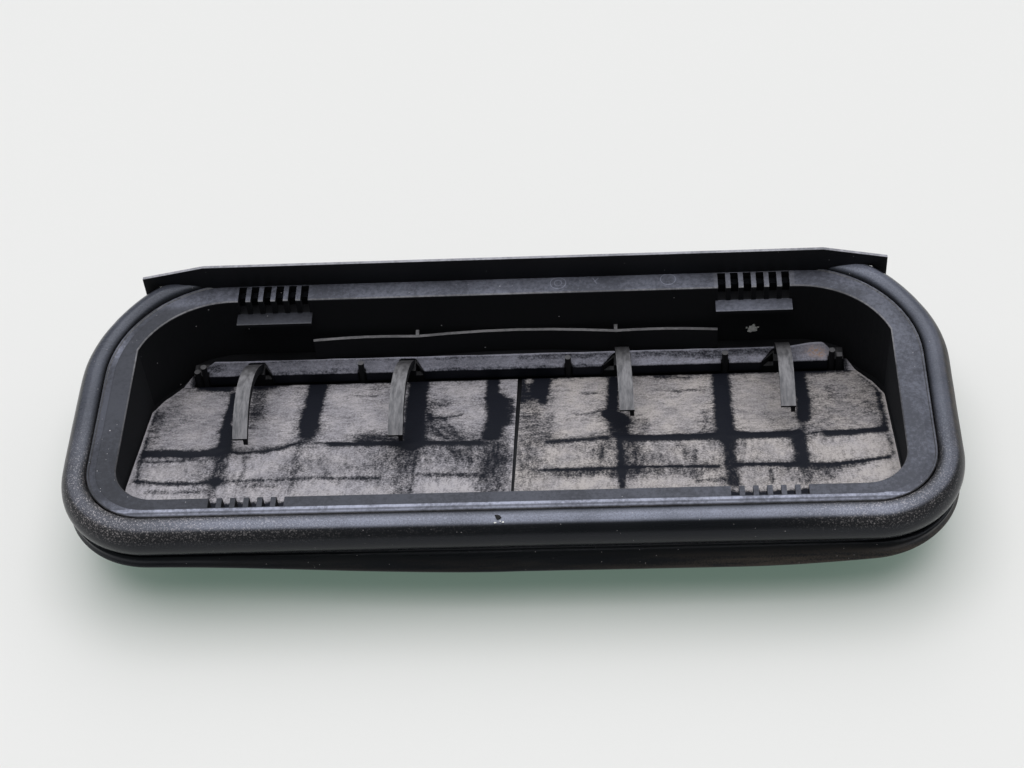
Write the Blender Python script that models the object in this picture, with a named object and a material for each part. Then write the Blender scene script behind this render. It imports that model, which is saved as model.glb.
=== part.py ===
"""Cabin air extractor grille: a moulded housing, a rubber seal ring and two flaps on a clamped strip.

The part lies with its flange up. X runs along the grille, Y from the near edge to the far edge
that carries the upright blade, and Z is up. Z = 0 is the foot of the housing's walls.
"""

import math

import bpy
import bmesh
from mathutils import Vector

MM = 0.001

# Flange ring of the housing
FLANGE_HALF_LENGTH = 128.0 * MM
FLANGE_HALF_WIDTH = 48.5 * MM
FLANGE_NEAR_RADIUS = 20.0 * MM
FLANGE_FAR_RADIUS = 39.4 * MM
FLANGE_THICKNESS = 2.5 * MM
RIM_SLOPE_WIDTH = 2.15 * MM
RIM_FALL = 0.4 * MM
RIM_WIDTH = 0.85 * MM
RIM_HEIGHT = 0.35 * MM
RIM_CREST = 0.4 * MM

# Opening inside the flange
SIDE_BAND = 9.0 * MM
NEAR_BAND = 6.9 * MM
FAR_BAND = 8.8 * MM
OPENING_NEAR_RADIUS = 13.0 * MM
OPENING_FAR_RADIUS = 30.0 * MM
OPENING_FAR_BULGE = 1.7 * MM
OPENING_CHAMFER = 0.35 * MM

# Walls that go down from the opening
BODY_DEPTH = 34.0 * MM
WALL = 2.0 * MM
WALL_DRAFT = 0.3 * MM
NEAR_WALL_LEAN = 2.5 * MM

# Upright blade along the far edge
BLADE_END_GAP = 7.7 * MM
BLADE_THICKNESS = 1.0 * MM
BLADE_SETBACK = 1.0 * MM
BLADE_HEIGHT = 8.9 * MM
BLADE_END_HEIGHT = 4.6 * MM
BLADE_END_DROP = 4.6 * MM
BLADE_TAPER_LENGTH = 20.5 * MM

# Comb slots that let the mould form the seal's retaining teeth
COMB_FROM_END = 50.4 * MM
COMB_SLOTS = 6
COMB_PITCH = 4.08 * MM
SLOT_WIDTH = 2.5 * MM
FAR_SLOT_REACH = 6.5 * MM
NEAR_SLOT_REACH = 3.9 * MM
SLOT_DEPTH = 6.0 * MM
TOOTH_REACH = 2.2 * MM
TOOTH_HEIGHT = 2.6 * MM
TOOTH_WIDTH = 3.7 * MM
SHELF_REACH = 4.9 * MM
SHELF_THICKNESS = 1.2 * MM

# Snap lugs low on the outside of the long walls
LUG_LENGTH = 23.0 * MM
LUG_REACH = 2.4 * MM
LUG_TOP = 17.0 * MM
LUG_HEIGHT = 7.0 * MM

# Ledge under the strip, measured up from the foot and in from the far wall
LEDGE_HEIGHT = 9.1 * MM
LEDGE_WIDTH = 9.7 * MM
LEDGE_THICKNESS = 1.8 * MM
LEDGE_END_GAP = 12.5 * MM

# Thin bowed plate behind the strip, with two webs to the far wall
PLATE_HALF_LENGTH = 66.0 * MM
PLATE_HEIGHT = 9.3 * MM
PLATE_THICKNESS = 1.1 * MM
PLATE_FROM_WALL = 3.5 * MM
PLATE_END_LEAN = 0.6 * MM
PLATE_BOW = 1.7 * MM
PLATE_SIDE_BOW = 0.6 * MM
PLATE_STEPS = 6
LEFT_WEB_X = 31.9 * MM
RIGHT_WEB_X = 33.0 * MM
WEB_THICKNESS = 1.1 * MM

# Sloping seat grid behind the flaps
SEAT_THICKNESS = 3.2 * MM
SEAT_BORDER = 3.6 * MM
SEAT_RIB = 1.8 * MM
CENTRE_RIB = 7.0 * MM
INNER_RIB_X = 28.0 * MM
MIDDLE_RIB_FROM_END = 62.0 * MM
OUTER_RIB_FROM_END = 38.0 * MM
CROSS_RIB_FIRST = 16.6 * MM
CROSS_RIB_PITCH = 17.0 * MM
WINDOW_MIN = 3.0 * MM

# Flaps
FLAP_SLOPE = math.radians(17.5)
FLAP_THICKNESS = 0.9 * MM
FLAP_SIDE_GAP = 1.0 * MM
FLAP_END_GAP = 0.9 * MM
FLAP_CORNER_RUN = 14.6 * MM
FLAP_CORNER_SHARE = 0.5
FLAP_CORNER_INSET = 7.6 * MM
FLAP_CORNER_SHOULDER = 2.9 * MM
FLAP_SPLIT_X = 1.2 * MM
FLAP_SPLIT_TOP = 1.5 * MM
FLAP_SPLIT_END = 0.8 * MM

# Strip that clamps the flaps' upper margin
STRIP_THICKNESS = 0.8 * MM
STRIP_END_GAP = 3.8 * MM
STRIP_SKIRT = 4.4 * MM
STRIP_CHAMFER = 2.9 * MM
STRIP_BACK_BAND = 0.8 * MM

# Pegs along the front of the ledge
PEG_RADIUS = 1.0 * MM
PEG_HEIGHT = 4.6 * MM
LOW_PEG_HEIGHT = 2.4 * MM
PEG_FROM_LEFT_FINGER = 14.9 * MM
PEG_FROM_INNER_FINGER = 17.6 * MM
PEG_FROM_OUTER_FINGER = 18.4 * MM
END_PEG_INSET = 3.9 * MM
LOW_PEG_INSET = 1.5 * MM

# Stop fingers that arch over the flaps. A lean is how far a tip stands to the right of its leg.
FINGER_WIDTH = 4.6 * MM
FINGER_THICKNESS = 1.1 * MM
FINGER_WEB_WIDTH = 1.3 * MM
FINGER_WEB_DEPTH = 2.0 * MM
FINGER_WEB_OFFSET = 1.5 * MM
FINGER_STEPS = 12
LEFT_OUTER_FINGER_FROM_END = 42.2 * MM
LEFT_OUTER_FINGER_LEAN = 1.5 * MM
LEFT_INNER_FINGER_X = 35.7 * MM
LEFT_INNER_FINGER_LEAN = 0.0 * MM
LEFT_FINGER_RISE = 1.0 * MM
LEFT_FINGER_REACH = 39.5 * MM
LEFT_FINGER_CLEAR = 7.4 * MM
LEFT_FINGER_ARCH = 8.0 * MM
RIGHT_INNER_FINGER_X = 34.8 * MM
RIGHT_INNER_FINGER_LEAN = 1.4 * MM
RIGHT_OUTER_FINGER_FROM_END = 41.4 * MM
RIGHT_OUTER_FINGER_LEAN = -0.5 * MM
RIGHT_FINGER_RISE = 4.6 * MM
RIGHT_FINGER_REACH = 30.2 * MM
RIGHT_FINGER_CLEAR = 8.6 * MM
RIGHT_FINGER_ARCH = 5.8 * MM
NOTCH_MARGIN = 0.4 * MM
LEFT_NOTCH_FLARE = 3.0 * MM
RIGHT_NOTCH_FLARE = 4.2 * MM

# Seal section: a bead, squarer towards the flange, a flared lower lip that sags along the long
# sides, and a foot
BEAD_CENTRE = 4.25 * MM
BEAD_DROP = 5.0 * MM
BEAD_HALF_WIDTH = 3.95 * MM
BEAD_HALF_HEIGHT = 6.2 * MM
BEAD_SQUARENESS = 2.5
BEAD_INNER_SQUARENESS = 5.0
BEAD_STEPS = 14
LIP_REACH = 7.7 * MM
LIP_DROP = 15.0 * MM
LIP_THICKNESS = 1.3 * MM
SEAL_FOOT_REACH = 4.8 * MM
SAG_DROP = 2.8 * MM
SAG_REACH = 2.4 * MM
SAG_FROM_END = 10.0 * MM
SAG_FADE = 38.0 * MM
SAG_STEPS = 12

# Fits and round corners
CLEARANCE = 0.3 * MM
NEAR_SEGMENTS = 12
FAR_SEGMENTS = 16
CUT_OVERRUN = 1.0 * MM

# Heights and places that follow from the sizes above
FLANGE_Z = BODY_DEPTH
OPENING_HALF_LENGTH = FLANGE_HALF_LENGTH - SIDE_BAND
OPENING_NEAR = FLANGE_HALF_WIDTH - NEAR_BAND
OPENING_FAR = FLANGE_HALF_WIDTH - FAR_BAND
LEDGE_Z = LEDGE_HEIGHT
LEDGE_FRONT = OPENING_FAR - LEDGE_WIDTH
LEDGE_HALF_LENGTH = OPENING_HALF_LENGTH - LEDGE_END_GAP
STRIP_FRONT = LEDGE_FRONT - CLEARANCE - STRIP_THICKNESS
STRIP_TOP = LEDGE_Z + CLEARANCE + STRIP_THICKNESS
STRIP_HALF_LENGTH = LEDGE_HALF_LENGTH - STRIP_END_GAP
PLATE_FRONT = OPENING_FAR - PLATE_FROM_WALL
STRIP_REAR = PLATE_FRONT - PLATE_END_LEAN - CLEARANCE
FINGER_LEG_Y = STRIP_REAR - STRIP_BACK_BAND - NOTCH_MARGIN - FINGER_THICKNESS / 2
HINGE_Y = STRIP_FRONT - CLEARANCE - FLAP_THICKNESS / 2
HINGE_Z = STRIP_TOP - STRIP_SKIRT - CLEARANCE - FLAP_THICKNESS / 2
PEG_Y = LEDGE_FRONT - 0.1 * MM
COMB_X = FLANGE_HALF_LENGTH - COMB_FROM_END
BLADE_Y = FLANGE_HALF_WIDTH - BLADE_SETBACK - BLADE_THICKNESS
BLADE_HALF_LENGTH = FLANGE_HALF_LENGTH - BLADE_END_GAP


def near_wall_y(z, grow=0.0):
    """Inner face of the near wall at a height, moved out by grow."""
    share = (FLANGE_Z - z) / BODY_DEPTH
    return -(OPENING_NEAR + grow) + (WALL_DRAFT + NEAR_WALL_LEAN) * share


def flap_top_z(y):
    """Top face of a closed flap, extended as a plane."""
    rise = math.tan(FLAP_SLOPE) * (HINGE_Y - y)
    return HINGE_Z + FLAP_THICKNESS / 2 / math.cos(FLAP_SLOPE) + rise


def seat_z(y):
    """Top face of the seat grid, a clearance below the closed flaps."""
    return flap_top_z(y) - (FLAP_THICKNESS + CLEARANCE) / math.cos(FLAP_SLOPE)


def arc(centre, radius, start, end, steps):
    """Points along an arc, both ends included, angles in degrees."""
    points = []
    for i in range(steps + 1):
        angle = math.radians(start + (end - start) * i / steps)
        points.append((centre[0] + radius * math.cos(angle), centre[1] + radius * math.sin(angle)))
    return points


def mirrored(points):
    """The left half that closes a right half drawn from near to far."""
    return points + [(-x, y) for x, y in reversed(points)]


def flange_outline(grow=0.0):
    """Outer edge of the flange, moved out by grow."""
    half_x = FLANGE_HALF_LENGTH + grow
    half_y = FLANGE_HALF_WIDTH + grow
    near = FLANGE_NEAR_RADIUS + grow
    far = FLANGE_FAR_RADIUS + grow
    right = arc((half_x - near, near - half_y), near, -90, 0, NEAR_SEGMENTS)
    right += arc((half_x - far, half_y - far), far, 0, 90, FAR_SEGMENTS)
    return mirrored(right)


def opening_outline(grow=0.0, lean=0.0):
    """Edge of the opening, moved out by grow, its near side moved in by lean."""
    half_x = OPENING_HALF_LENGTH + grow
    near_y = OPENING_NEAR + grow - lean
    near = OPENING_NEAR_RADIUS + grow
    far = OPENING_FAR_RADIUS + grow
    centre_x = OPENING_HALF_LENGTH + OPENING_FAR_BULGE - OPENING_FAR_RADIUS
    centre_y = OPENING_FAR - OPENING_FAR_RADIUS
    kink = math.degrees(math.acos((half_x - centre_x) / far))
    right = arc((half_x - near, near - near_y), near, -90, 0, NEAR_SEGMENTS)
    right += arc((centre_x, centre_y), far, kink, 90, FAR_SEGMENTS)
    return mirrored(right)


def at_height(outline, z):
    return [(x, y, z) for x, y in outline]


def add_loft(bm, loops, closed):
    """Skin equal loops in turn. A closed loft meets its first loop again, an open one is capped."""
    rings = [[bm.verts.new(point) for point in loop] for loop in loops]
    pairs = list(zip(rings, rings[1:]))
    if closed:
        pairs.append((rings[-1], rings[0]))
    else:
        bm.faces.new(rings[0])
        bm.faces.new(rings[-1])
    count = len(rings[0])
    for lower, upper in pairs:
        for i in range(count):
            j = (i + 1) % count
            bm.faces.new((lower[i], lower[j], upper[j], upper[i]))


def add_prism(bm, outline, bottom, top):
    """Upright prism over an outline in X and Y."""
    add_loft(bm, [at_height(outline, bottom), at_height(outline, top)], closed=False)


def add_bar(bm, profile, start, end):
    """Bar along X with a profile in Y and Z."""
    add_loft(bm, [[(x, y, z) for y, z in profile] for x in (start, end)], closed=False)


def add_plate(bm, profile, start, end):
    """Plate across Y with a profile in X and Z."""
    add_loft(bm, [[(x, y, z) for x, z in profile] for y in (start, end)], closed=False)


def add_box(bm, low, high):
    outline = [(low[0], low[1]), (high[0], low[1]), (high[0], high[1]), (low[0], high[1])]
    add_prism(bm, outline, low[2], high[2])


def make_object(name, bm):
    """Object from a bmesh of closed shapes."""
    bmesh.ops.recalc_face_normals(bm, faces=bm.faces)
    mesh = bpy.data.meshes.new(name)
    bm.to_mesh(mesh)
    bm.free()
    thing = bpy.data.objects.new(name, mesh)
    bpy.context.scene.collection.objects.link(thing)
    return thing


def combine(target, tool, operation):
    """Apply an exact Boolean to the target and drop the tool."""
    modifier = target.modifiers.new(operation.lower(), "BOOLEAN")
    modifier.operation = operation
    modifier.solver = "EXACT"
    modifier.object = tool
    bpy.context.view_layer.update()
    evaluated = target.evaluated_get(bpy.context.evaluated_depsgraph_get())
    result = bpy.data.meshes.new_from_object(evaluated)
    target.modifiers.clear()
    old = target.data
    target.data = result
    bpy.data.meshes.remove(old)
    tool_mesh = tool.data
    bpy.data.objects.remove(tool)
    bpy.data.meshes.remove(tool_mesh)


def finish_mesh(thing, material):
    """Dissolve the flat splits that Booleans leave, and shade round faces smooth."""
    bm = bmesh.new()
    bm.from_mesh(thing.data)
    bmesh.ops.remove_doubles(bm, verts=bm.verts, dist=0.001 * MM)
    bmesh.ops.dissolve_limit(
        bm, angle_limit=math.radians(0.05), verts=bm.verts, edges=bm.edges, delimit={"NORMAL"}
    )
    bmesh.ops.triangulate(bm, faces=[face for face in bm.faces if len(face.verts) > 4])
    bm.to_mesh(thing.data)
    bm.free()
    thing.data.shade_smooth()
    thing.data.set_sharp_from_angle(angle=math.radians(32))
    thing.data.materials.clear()
    thing.data.materials.append(material)


def make_material(name, colour, roughness):
    material = bpy.data.materials.new(name)
    material.use_nodes = True
    shader = material.node_tree.nodes["Principled BSDF"]
    shader.inputs["Base Color"].default_value = (*colour, 1.0)
    shader.inputs["Roughness"].default_value = roughness
    shader.inputs["Metallic"].default_value = 0.0
    return material


def clip_polygon(polygon, limit):
    """Part of a polygon inside a convex outline that runs anticlockwise."""
    result = polygon
    for start, end in zip(limit, limit[1:] + limit[:1]):
        edge = (end[0] - start[0], end[1] - start[1])

        def side(point):
            return edge[0] * (point[1] - start[1]) - edge[1] * (point[0] - start[0])

        clipped = []
        for a, b in zip(result, result[1:] + result[:1]):
            side_a, side_b = side(a), side(b)
            if side_a >= 0:
                clipped.append(a)
            if side_a * side_b < 0:
                share = side_a / (side_a - side_b)
                clipped.append((a[0] + (b[0] - a[0]) * share, a[1] + (b[1] - a[1]) * share))
        result = clipped
    return result


def shell():
    """Flange ring that slopes down to a thin rim, and the walls below it, as one closed loft."""
    foot_lean = NEAR_WALL_LEAN
    rim_foot = FLANGE_Z - RIM_FALL
    rim_top = rim_foot + RIM_HEIGHT
    rim_middle = -RIM_WIDTH / 2
    loops = [
        at_height(opening_outline(OPENING_CHAMFER), FLANGE_Z),
        at_height(flange_outline(-RIM_WIDTH - RIM_SLOPE_WIDTH), FLANGE_Z),
        at_height(flange_outline(-RIM_WIDTH), rim_foot),
        at_height(flange_outline(rim_middle - RIM_CREST / 2), rim_top),
        at_height(flange_outline(rim_middle + RIM_CREST / 2), rim_top),
        at_height(flange_outline(), rim_foot),
        at_height(flange_outline(), FLANGE_Z - FLANGE_THICKNESS),
        at_height(opening_outline(WALL), FLANGE_Z - FLANGE_THICKNESS),
        at_height(opening_outline(WALL - WALL_DRAFT, foot_lean), 0.0),
        at_height(opening_outline(-WALL_DRAFT, foot_lean), 0.0),
        at_height(opening_outline(), FLANGE_Z - OPENING_CHAMFER),
    ]
    bm = bmesh.new()
    add_loft(bm, loops, closed=True)
    return make_object("housing", bm)


def deck():
    """Seat plate and ledge across the inside, ending within the walls."""
    foot = 0.5 * MM
    near_end = -FLANGE_HALF_WIDTH
    far_end = FLANGE_HALF_WIDTH
    lowest = seat_z(LEDGE_FRONT)
    profile = [
        (near_end, seat_z(near_end)),
        (near_end, seat_z(near_end) - SEAT_THICKNESS),
        (LEDGE_FRONT, max(foot, lowest - SEAT_THICKNESS)),
        (far_end, max(foot, lowest - SEAT_THICKNESS)),
        (far_end, lowest),
        (LEDGE_FRONT, lowest),
    ]
    bm = bmesh.new()
    add_bar(bm, profile, -FLANGE_HALF_LENGTH, FLANGE_HALF_LENGTH)
    plate = make_object("deck", bm)

    ledge_profile = [
        (LEDGE_FRONT, lowest - SEAT_THICKNESS / 2),
        (LEDGE_FRONT, LEDGE_Z),
        (far_end, LEDGE_Z),
        (far_end, LEDGE_Z - LEDGE_THICKNESS),
        (LEDGE_FRONT + LEDGE_THICKNESS, LEDGE_Z - LEDGE_THICKNESS),
        (LEDGE_FRONT + LEDGE_THICKNESS, lowest - SEAT_THICKNESS / 2),
    ]
    bm = bmesh.new()
    add_bar(bm, ledge_profile, -LEDGE_HALF_LENGTH, LEDGE_HALF_LENGTH)
    combine(plate, make_object("ledge", bm), "UNION")

    near_seat = seat_z(-OPENING_NEAR)
    lean = near_wall_y(near_seat) + OPENING_NEAR
    bm = bmesh.new()
    add_prism(bm, opening_outline(WALL / 2, lean), -BODY_DEPTH, 2 * BODY_DEPTH)
    combine(plate, make_object("inside", bm), "INTERSECT")
    return plate


def flap_right_edge(inset=0.0):
    """Outer side of a flap seen from above, from its free end to its upper corner."""
    side = OPENING_HALF_LENGTH - FLAP_SIDE_GAP - inset
    end_y = free_end_y() + inset
    radius = OPENING_NEAR_RADIUS - FLAP_SIDE_GAP
    top = HINGE_Y - inset
    points = arc((side - radius, end_y + radius), radius, -90, 0, NEAR_SEGMENTS // 2)
    points.append((side, HINGE_Y - FLAP_CORNER_RUN))
    shoulder_y = HINGE_Y - FLAP_CORNER_RUN * FLAP_CORNER_SHARE
    points.append((side - FLAP_CORNER_SHOULDER, shoulder_y))
    points.append((side - FLAP_CORNER_INSET, top))
    return points


def free_end_y():
    """Where a flap's lower end stops short of the near wall."""
    wall_slope = (WALL_DRAFT + NEAR_WALL_LEAN) / BODY_DEPTH
    wall_at_hinge = near_wall_y(flap_top_z(HINGE_Y))
    # The wall leans back as the flap's plane rises towards it.
    fall = math.tan(FLAP_SLOPE) * wall_slope
    return (wall_at_hinge + FLAP_END_GAP - fall * HINGE_Y) / (1 - fall)


def seat_windows():
    """Openings of the seat grid, kept inside the flaps' outline."""
    right = flap_right_edge(SEAT_BORDER)
    limit = mirrored(right)
    half = SEAT_RIB / 2
    middle = FLANGE_HALF_LENGTH - MIDDLE_RIB_FROM_END
    outer = FLANGE_HALF_LENGTH - OUTER_RIB_FROM_END
    edges = [FLAP_SPLIT_X + CENTRE_RIB / 2]
    for rib in (INNER_RIB_X, middle, outer):
        edges += [rib - half, rib + half]
    edges.append(OPENING_HALF_LENGTH)
    columns = list(zip(edges[0::2], edges[1::2]))
    shift = 2 * FLAP_SPLIT_X
    left = [(-high, -low) for low, high in columns]
    left[0] = (left[0][0], left[0][1] + shift)
    rows = []
    low = -OPENING_NEAR
    line = -OPENING_NEAR + CROSS_RIB_FIRST
    while line < LEDGE_FRONT - CROSS_RIB_PITCH / 2:
        rows.append((low, line - half))
        low = line + half
        line += CROSS_RIB_PITCH
    rows.append((low, LEDGE_FRONT))
    bm = bmesh.new()
    for x0, x1 in left + columns:
        for y0, y1 in rows:
            box = [(x0, y0), (x1, y0), (x1, y1), (x0, y1)]
            window = clip_polygon(box, limit)
            if len(window) < 3:
                continue
            xs = [x for x, _ in window]
            ys = [y for _, y in window]
            if max(xs) - min(xs) < WINDOW_MIN or max(ys) - min(ys) < WINDOW_MIN:
                continue
            add_prism(bm, window, -BODY_DEPTH, FLANGE_Z)
    return make_object("seat_windows", bm)


def plate_line(x):
    """Front of the upright plate before its bow, leaning forward beyond the webs."""
    web = RIGHT_WEB_X if x > 0 else LEFT_WEB_X
    beyond = max(0.0, abs(x) - web) / (PLATE_HALF_LENGTH - web)
    return PLATE_FRONT - PLATE_END_LEAN * beyond


def bowed_plate():
    """Thin upright plate behind the strip, its three spans bowed towards the far wall."""
    spans = (
        (-PLATE_HALF_LENGTH, -LEFT_WEB_X, PLATE_SIDE_BOW),
        (-LEFT_WEB_X, RIGHT_WEB_X, PLATE_BOW),
        (RIGHT_WEB_X, PLATE_HALF_LENGTH, PLATE_SIDE_BOW),
    )
    front = []
    for start, end, bow in spans:
        for i in range(PLATE_STEPS):
            share = i / PLATE_STEPS
            x = start + (end - start) * share
            front.append((x, plate_line(x) + bow * math.sin(math.pi * share)))
    front.append((PLATE_HALF_LENGTH, plate_line(PLATE_HALF_LENGTH)))
    back = [(x, y + PLATE_THICKNESS) for x, y in reversed(front)]
    bm = bmesh.new()
    add_prism(bm, front + back, LEDGE_Z - LEDGE_THICKNESS / 2, LEDGE_Z + PLATE_HEIGHT)
    return make_object("bowed_plate", bm)


def plate_webs():
    bm = bmesh.new()
    for x in (-LEFT_WEB_X, RIGHT_WEB_X):
        low = (x - WEB_THICKNESS / 2, PLATE_FRONT + PLATE_THICKNESS / 2, LEDGE_Z - LEDGE_THICKNESS / 2)
        high = (x + WEB_THICKNESS / 2, OPENING_FAR + WALL / 2, LEDGE_Z + PLATE_HEIGHT)
        add_box(bm, low, high)
    return make_object("plate_webs", bm)


def bead_point(degrees, grow=0.0):
    """Point on the seal's squarish bead, grown by grow, from the flange's edge and face."""
    angle = math.radians(degrees)
    power = 2 / (BEAD_SQUARENESS if math.cos(angle) > 0 else BEAD_INNER_SQUARENESS)
    across = math.copysign(abs(math.cos(angle)) ** power, math.cos(angle))
    upward = math.copysign(abs(math.sin(angle)) ** power, math.sin(angle))
    u = BEAD_CENTRE + (BEAD_HALF_WIDTH + grow) * across
    return u, (BEAD_HALF_HEIGHT + grow) * upward - BEAD_DROP


def blade():
    """Upright blade with tapered ends, cut clear of the seal where it crosses it."""
    kink = BLADE_HALF_LENGTH - BLADE_TAPER_LENGTH
    right = [
        (BLADE_HALF_LENGTH, FLANGE_Z - BLADE_END_DROP),
        (BLADE_HALF_LENGTH, FLANGE_Z + BLADE_END_HEIGHT),
        (kink, FLANGE_Z + BLADE_HEIGHT),
    ]
    bm = bmesh.new()
    add_plate(bm, mirrored(right), BLADE_Y, BLADE_Y + BLADE_THICKNESS)
    upright = make_object("blade", bm)

    room = 1.2 * CLEARANCE
    section = [
        (-SEAL_FOOT_REACH - 2 * room, -BODY_DEPTH),
        (-SEAL_FOOT_REACH - 2 * room, -FLANGE_THICKNESS * 0.8),
        (-room / 2, -FLANGE_THICKNESS * 0.8),
    ]
    section += [bead_point(degrees, room) for degrees in range(160, -1, -10)]
    section.append((BEAD_CENTRE + BEAD_HALF_WIDTH + room, -BODY_DEPTH))
    bm = bmesh.new()
    add_loft(bm, [at_height(flange_outline(u), FLANGE_Z + z) for u, z in section], closed=True)
    combine(upright, make_object("seal_room", bm), "DIFFERENCE")
    return upright


def comb_slots():
    """Four groups of slots through the flange. The far ones also cut the top of the wall."""
    bm = bmesh.new()
    for side in (-1, 1):
        for i in range(COMB_SLOTS):
            x = side * COMB_X + (i - (COMB_SLOTS - 1) / 2) * COMB_PITCH
            left, right = x - SLOT_WIDTH / 2, x + SLOT_WIDTH / 2
            top = FLANGE_Z + SLOT_DEPTH
            far_low = (left, OPENING_FAR - CUT_OVERRUN, FLANGE_Z - SLOT_DEPTH)
            add_box(bm, far_low, (right, OPENING_FAR + FAR_SLOT_REACH, top))
            near_low = (left, -OPENING_NEAR - NEAR_SLOT_REACH, FLANGE_Z - SLOT_DEPTH)
            add_box(bm, near_low, (right, -OPENING_NEAR + CUT_OVERRUN, top))
    return make_object("comb_slots", bm)


def seal_teeth():
    """Small ramps on the outside of the long walls that hold the seal's foot from below."""
    top = FLANGE_Z - SLOT_DEPTH
    bm = bmesh.new()
    for side in (-1, 1):
        for i in range(COMB_SLOTS):
            x = side * COMB_X + (i - (COMB_SLOTS - 1) / 2) * COMB_PITCH
            for face, out in ((OPENING_FAR + WALL, 1), (near_wall_y(top, WALL), -1)):
                profile = [
                    (face - out * WALL / 2, top),
                    (face + out * TOOTH_REACH, top),
                    (face - out * WALL / 2, top - TOOTH_HEIGHT),
                ]
                add_bar(bm, profile, x - TOOTH_WIDTH / 2, x + TOOTH_WIDTH / 2)
    return make_object("seal_teeth", bm)


def comb_shelves():
    """A shelf on the far wall below each far comb."""
    half = (COMB_SLOTS * COMB_PITCH) / 2
    top = FLANGE_Z - SLOT_DEPTH
    bm = bmesh.new()
    for side in (-1, 1):
        x = side * COMB_X
        low = (x - half, OPENING_FAR - SHELF_REACH, top - SHELF_THICKNESS)
        high = (x + half, OPENING_FAR + WALL / 2, top)
        add_box(bm, low, high)
    return make_object("comb_shelves", bm)


def snap_lugs():
    """Ramped lugs on the outside of the long walls that catch behind the car's panel."""
    top = FLANGE_Z - LUG_TOP
    bottom = top - LUG_HEIGHT
    bm = bmesh.new()
    for side in (-1, 1):
        start = side * COMB_X - LUG_LENGTH / 2
        far = OPENING_FAR + WALL - WALL_DRAFT
        for face, out in ((far, 1), (near_wall_y(top, WALL), -1)):
            profile = [
                (face - out * WALL / 2, top),
                (face + out * LUG_REACH, top),
                (face + out * LUG_REACH, top - LUG_HEIGHT / 4),
                (face - out * WALL / 2, bottom),
            ]
            add_bar(bm, profile, start, start + LUG_LENGTH)
    return make_object("snap_lugs", bm)


def strap_sides(line, thickness):
    """Points above and below a strap's centre line in Y and Z, matched one to one."""
    line = [Vector(point) for point in line]
    normals = []
    for a, b in zip(line, line[1:]):
        run = (b - a).normalized()
        normals.append(Vector((run.y, -run.x)))
    above, below = [], []
    for i, point in enumerate(line):
        before = normals[max(i - 1, 0)]
        after = normals[min(i, len(normals) - 1)]
        mitre = (before + after) / (1 + before.dot(after))
        above.append(point + mitre * thickness / 2)
        below.append(point - mitre * thickness / 2)
    return above, below


def add_strap(bm, centres, above, below, width):
    """Strap of one width whose middle follows centres in X."""
    loops = []
    for x, top, bottom in zip(centres, above, below):
        left, right = x - width / 2, x + width / 2
        loops.append([
            (left, top[0], top[1]),
            (right, top[0], top[1]),
            (right, bottom[0], bottom[1]),
            (left, bottom[0], bottom[1]),
        ])
    add_loft(bm, loops, closed=False)


def fingers():
    """Leg place, lean and arch of each finger, and the flare of its notch."""
    left = (LEFT_FINGER_RISE, LEFT_FINGER_REACH, LEFT_FINGER_CLEAR, LEFT_FINGER_ARCH)
    right = (RIGHT_FINGER_RISE, RIGHT_FINGER_REACH, RIGHT_FINGER_CLEAR, RIGHT_FINGER_ARCH)
    left_outer = LEFT_OUTER_FINGER_FROM_END - FLANGE_HALF_LENGTH
    right_outer = FLANGE_HALF_LENGTH - RIGHT_OUTER_FINGER_FROM_END
    return (
        (left_outer, LEFT_OUTER_FINGER_LEAN, left, LEFT_NOTCH_FLARE),
        (-LEFT_INNER_FINGER_X, LEFT_INNER_FINGER_LEAN, left, LEFT_NOTCH_FLARE),
        (RIGHT_INNER_FINGER_X, RIGHT_INNER_FINGER_LEAN, right, RIGHT_NOTCH_FLARE),
        (right_outer, RIGHT_OUTER_FINGER_LEAN, right, RIGHT_NOTCH_FLARE),
    )


def finger_arm(rise, reach, clear, arch):
    """Centre line of a finger's arch from its leg to its tip."""
    half = FINGER_THICKNESS / 2
    root = (FINGER_LEG_Y, LEDGE_Z + rise - half)
    tip_y = HINGE_Y - reach
    tip = (tip_y, flap_top_z(tip_y) + clear - half)
    crown = ((root[0] + tip[0]) / 2, (root[1] + tip[1]) / 2 + 2 * arch)
    points = []
    for i in range(FINGER_STEPS + 1):
        t = i / FINGER_STEPS
        weights = ((1 - t) ** 2, 2 * t * (1 - t), t * t)
        y = weights[0] * root[0] + weights[1] * crown[0] + weights[2] * tip[0]
        z = weights[0] * root[1] + weights[1] * crown[1] + weights[2] * tip[1]
        points.append((y, z))
    return points


def stop_fingers():
    """Four arched straps on short legs, each with a web below whose end is the stop."""
    bm = bmesh.new()
    webs = bmesh.new()
    for x, lean, shape, _ in fingers():
        arm = finger_arm(*shape)
        line = [(arm[0][0], LEDGE_Z - LEDGE_THICKNESS / 2)] + arm
        reach = arm[0][0] - arm[-1][0]
        centres = [x + lean * (arm[0][0] - y) / reach for y, _ in line]
        above, below = strap_sides(line, FINGER_THICKNESS)
        add_strap(bm, centres, above, below, FINGER_WIDTH)
        drop = FINGER_THICKNESS / 2 + FINGER_WEB_DEPTH
        web_low = [(y, z - drop) for y, z in arm]
        web_centres = [centre + FINGER_WEB_OFFSET for centre in centres[1:]]
        add_strap(webs, web_centres, arm, web_low, FINGER_WEB_WIDTH)
    straps = make_object("stop_fingers", bm)
    combine(straps, make_object("finger_webs", webs), "UNION")
    return straps


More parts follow.
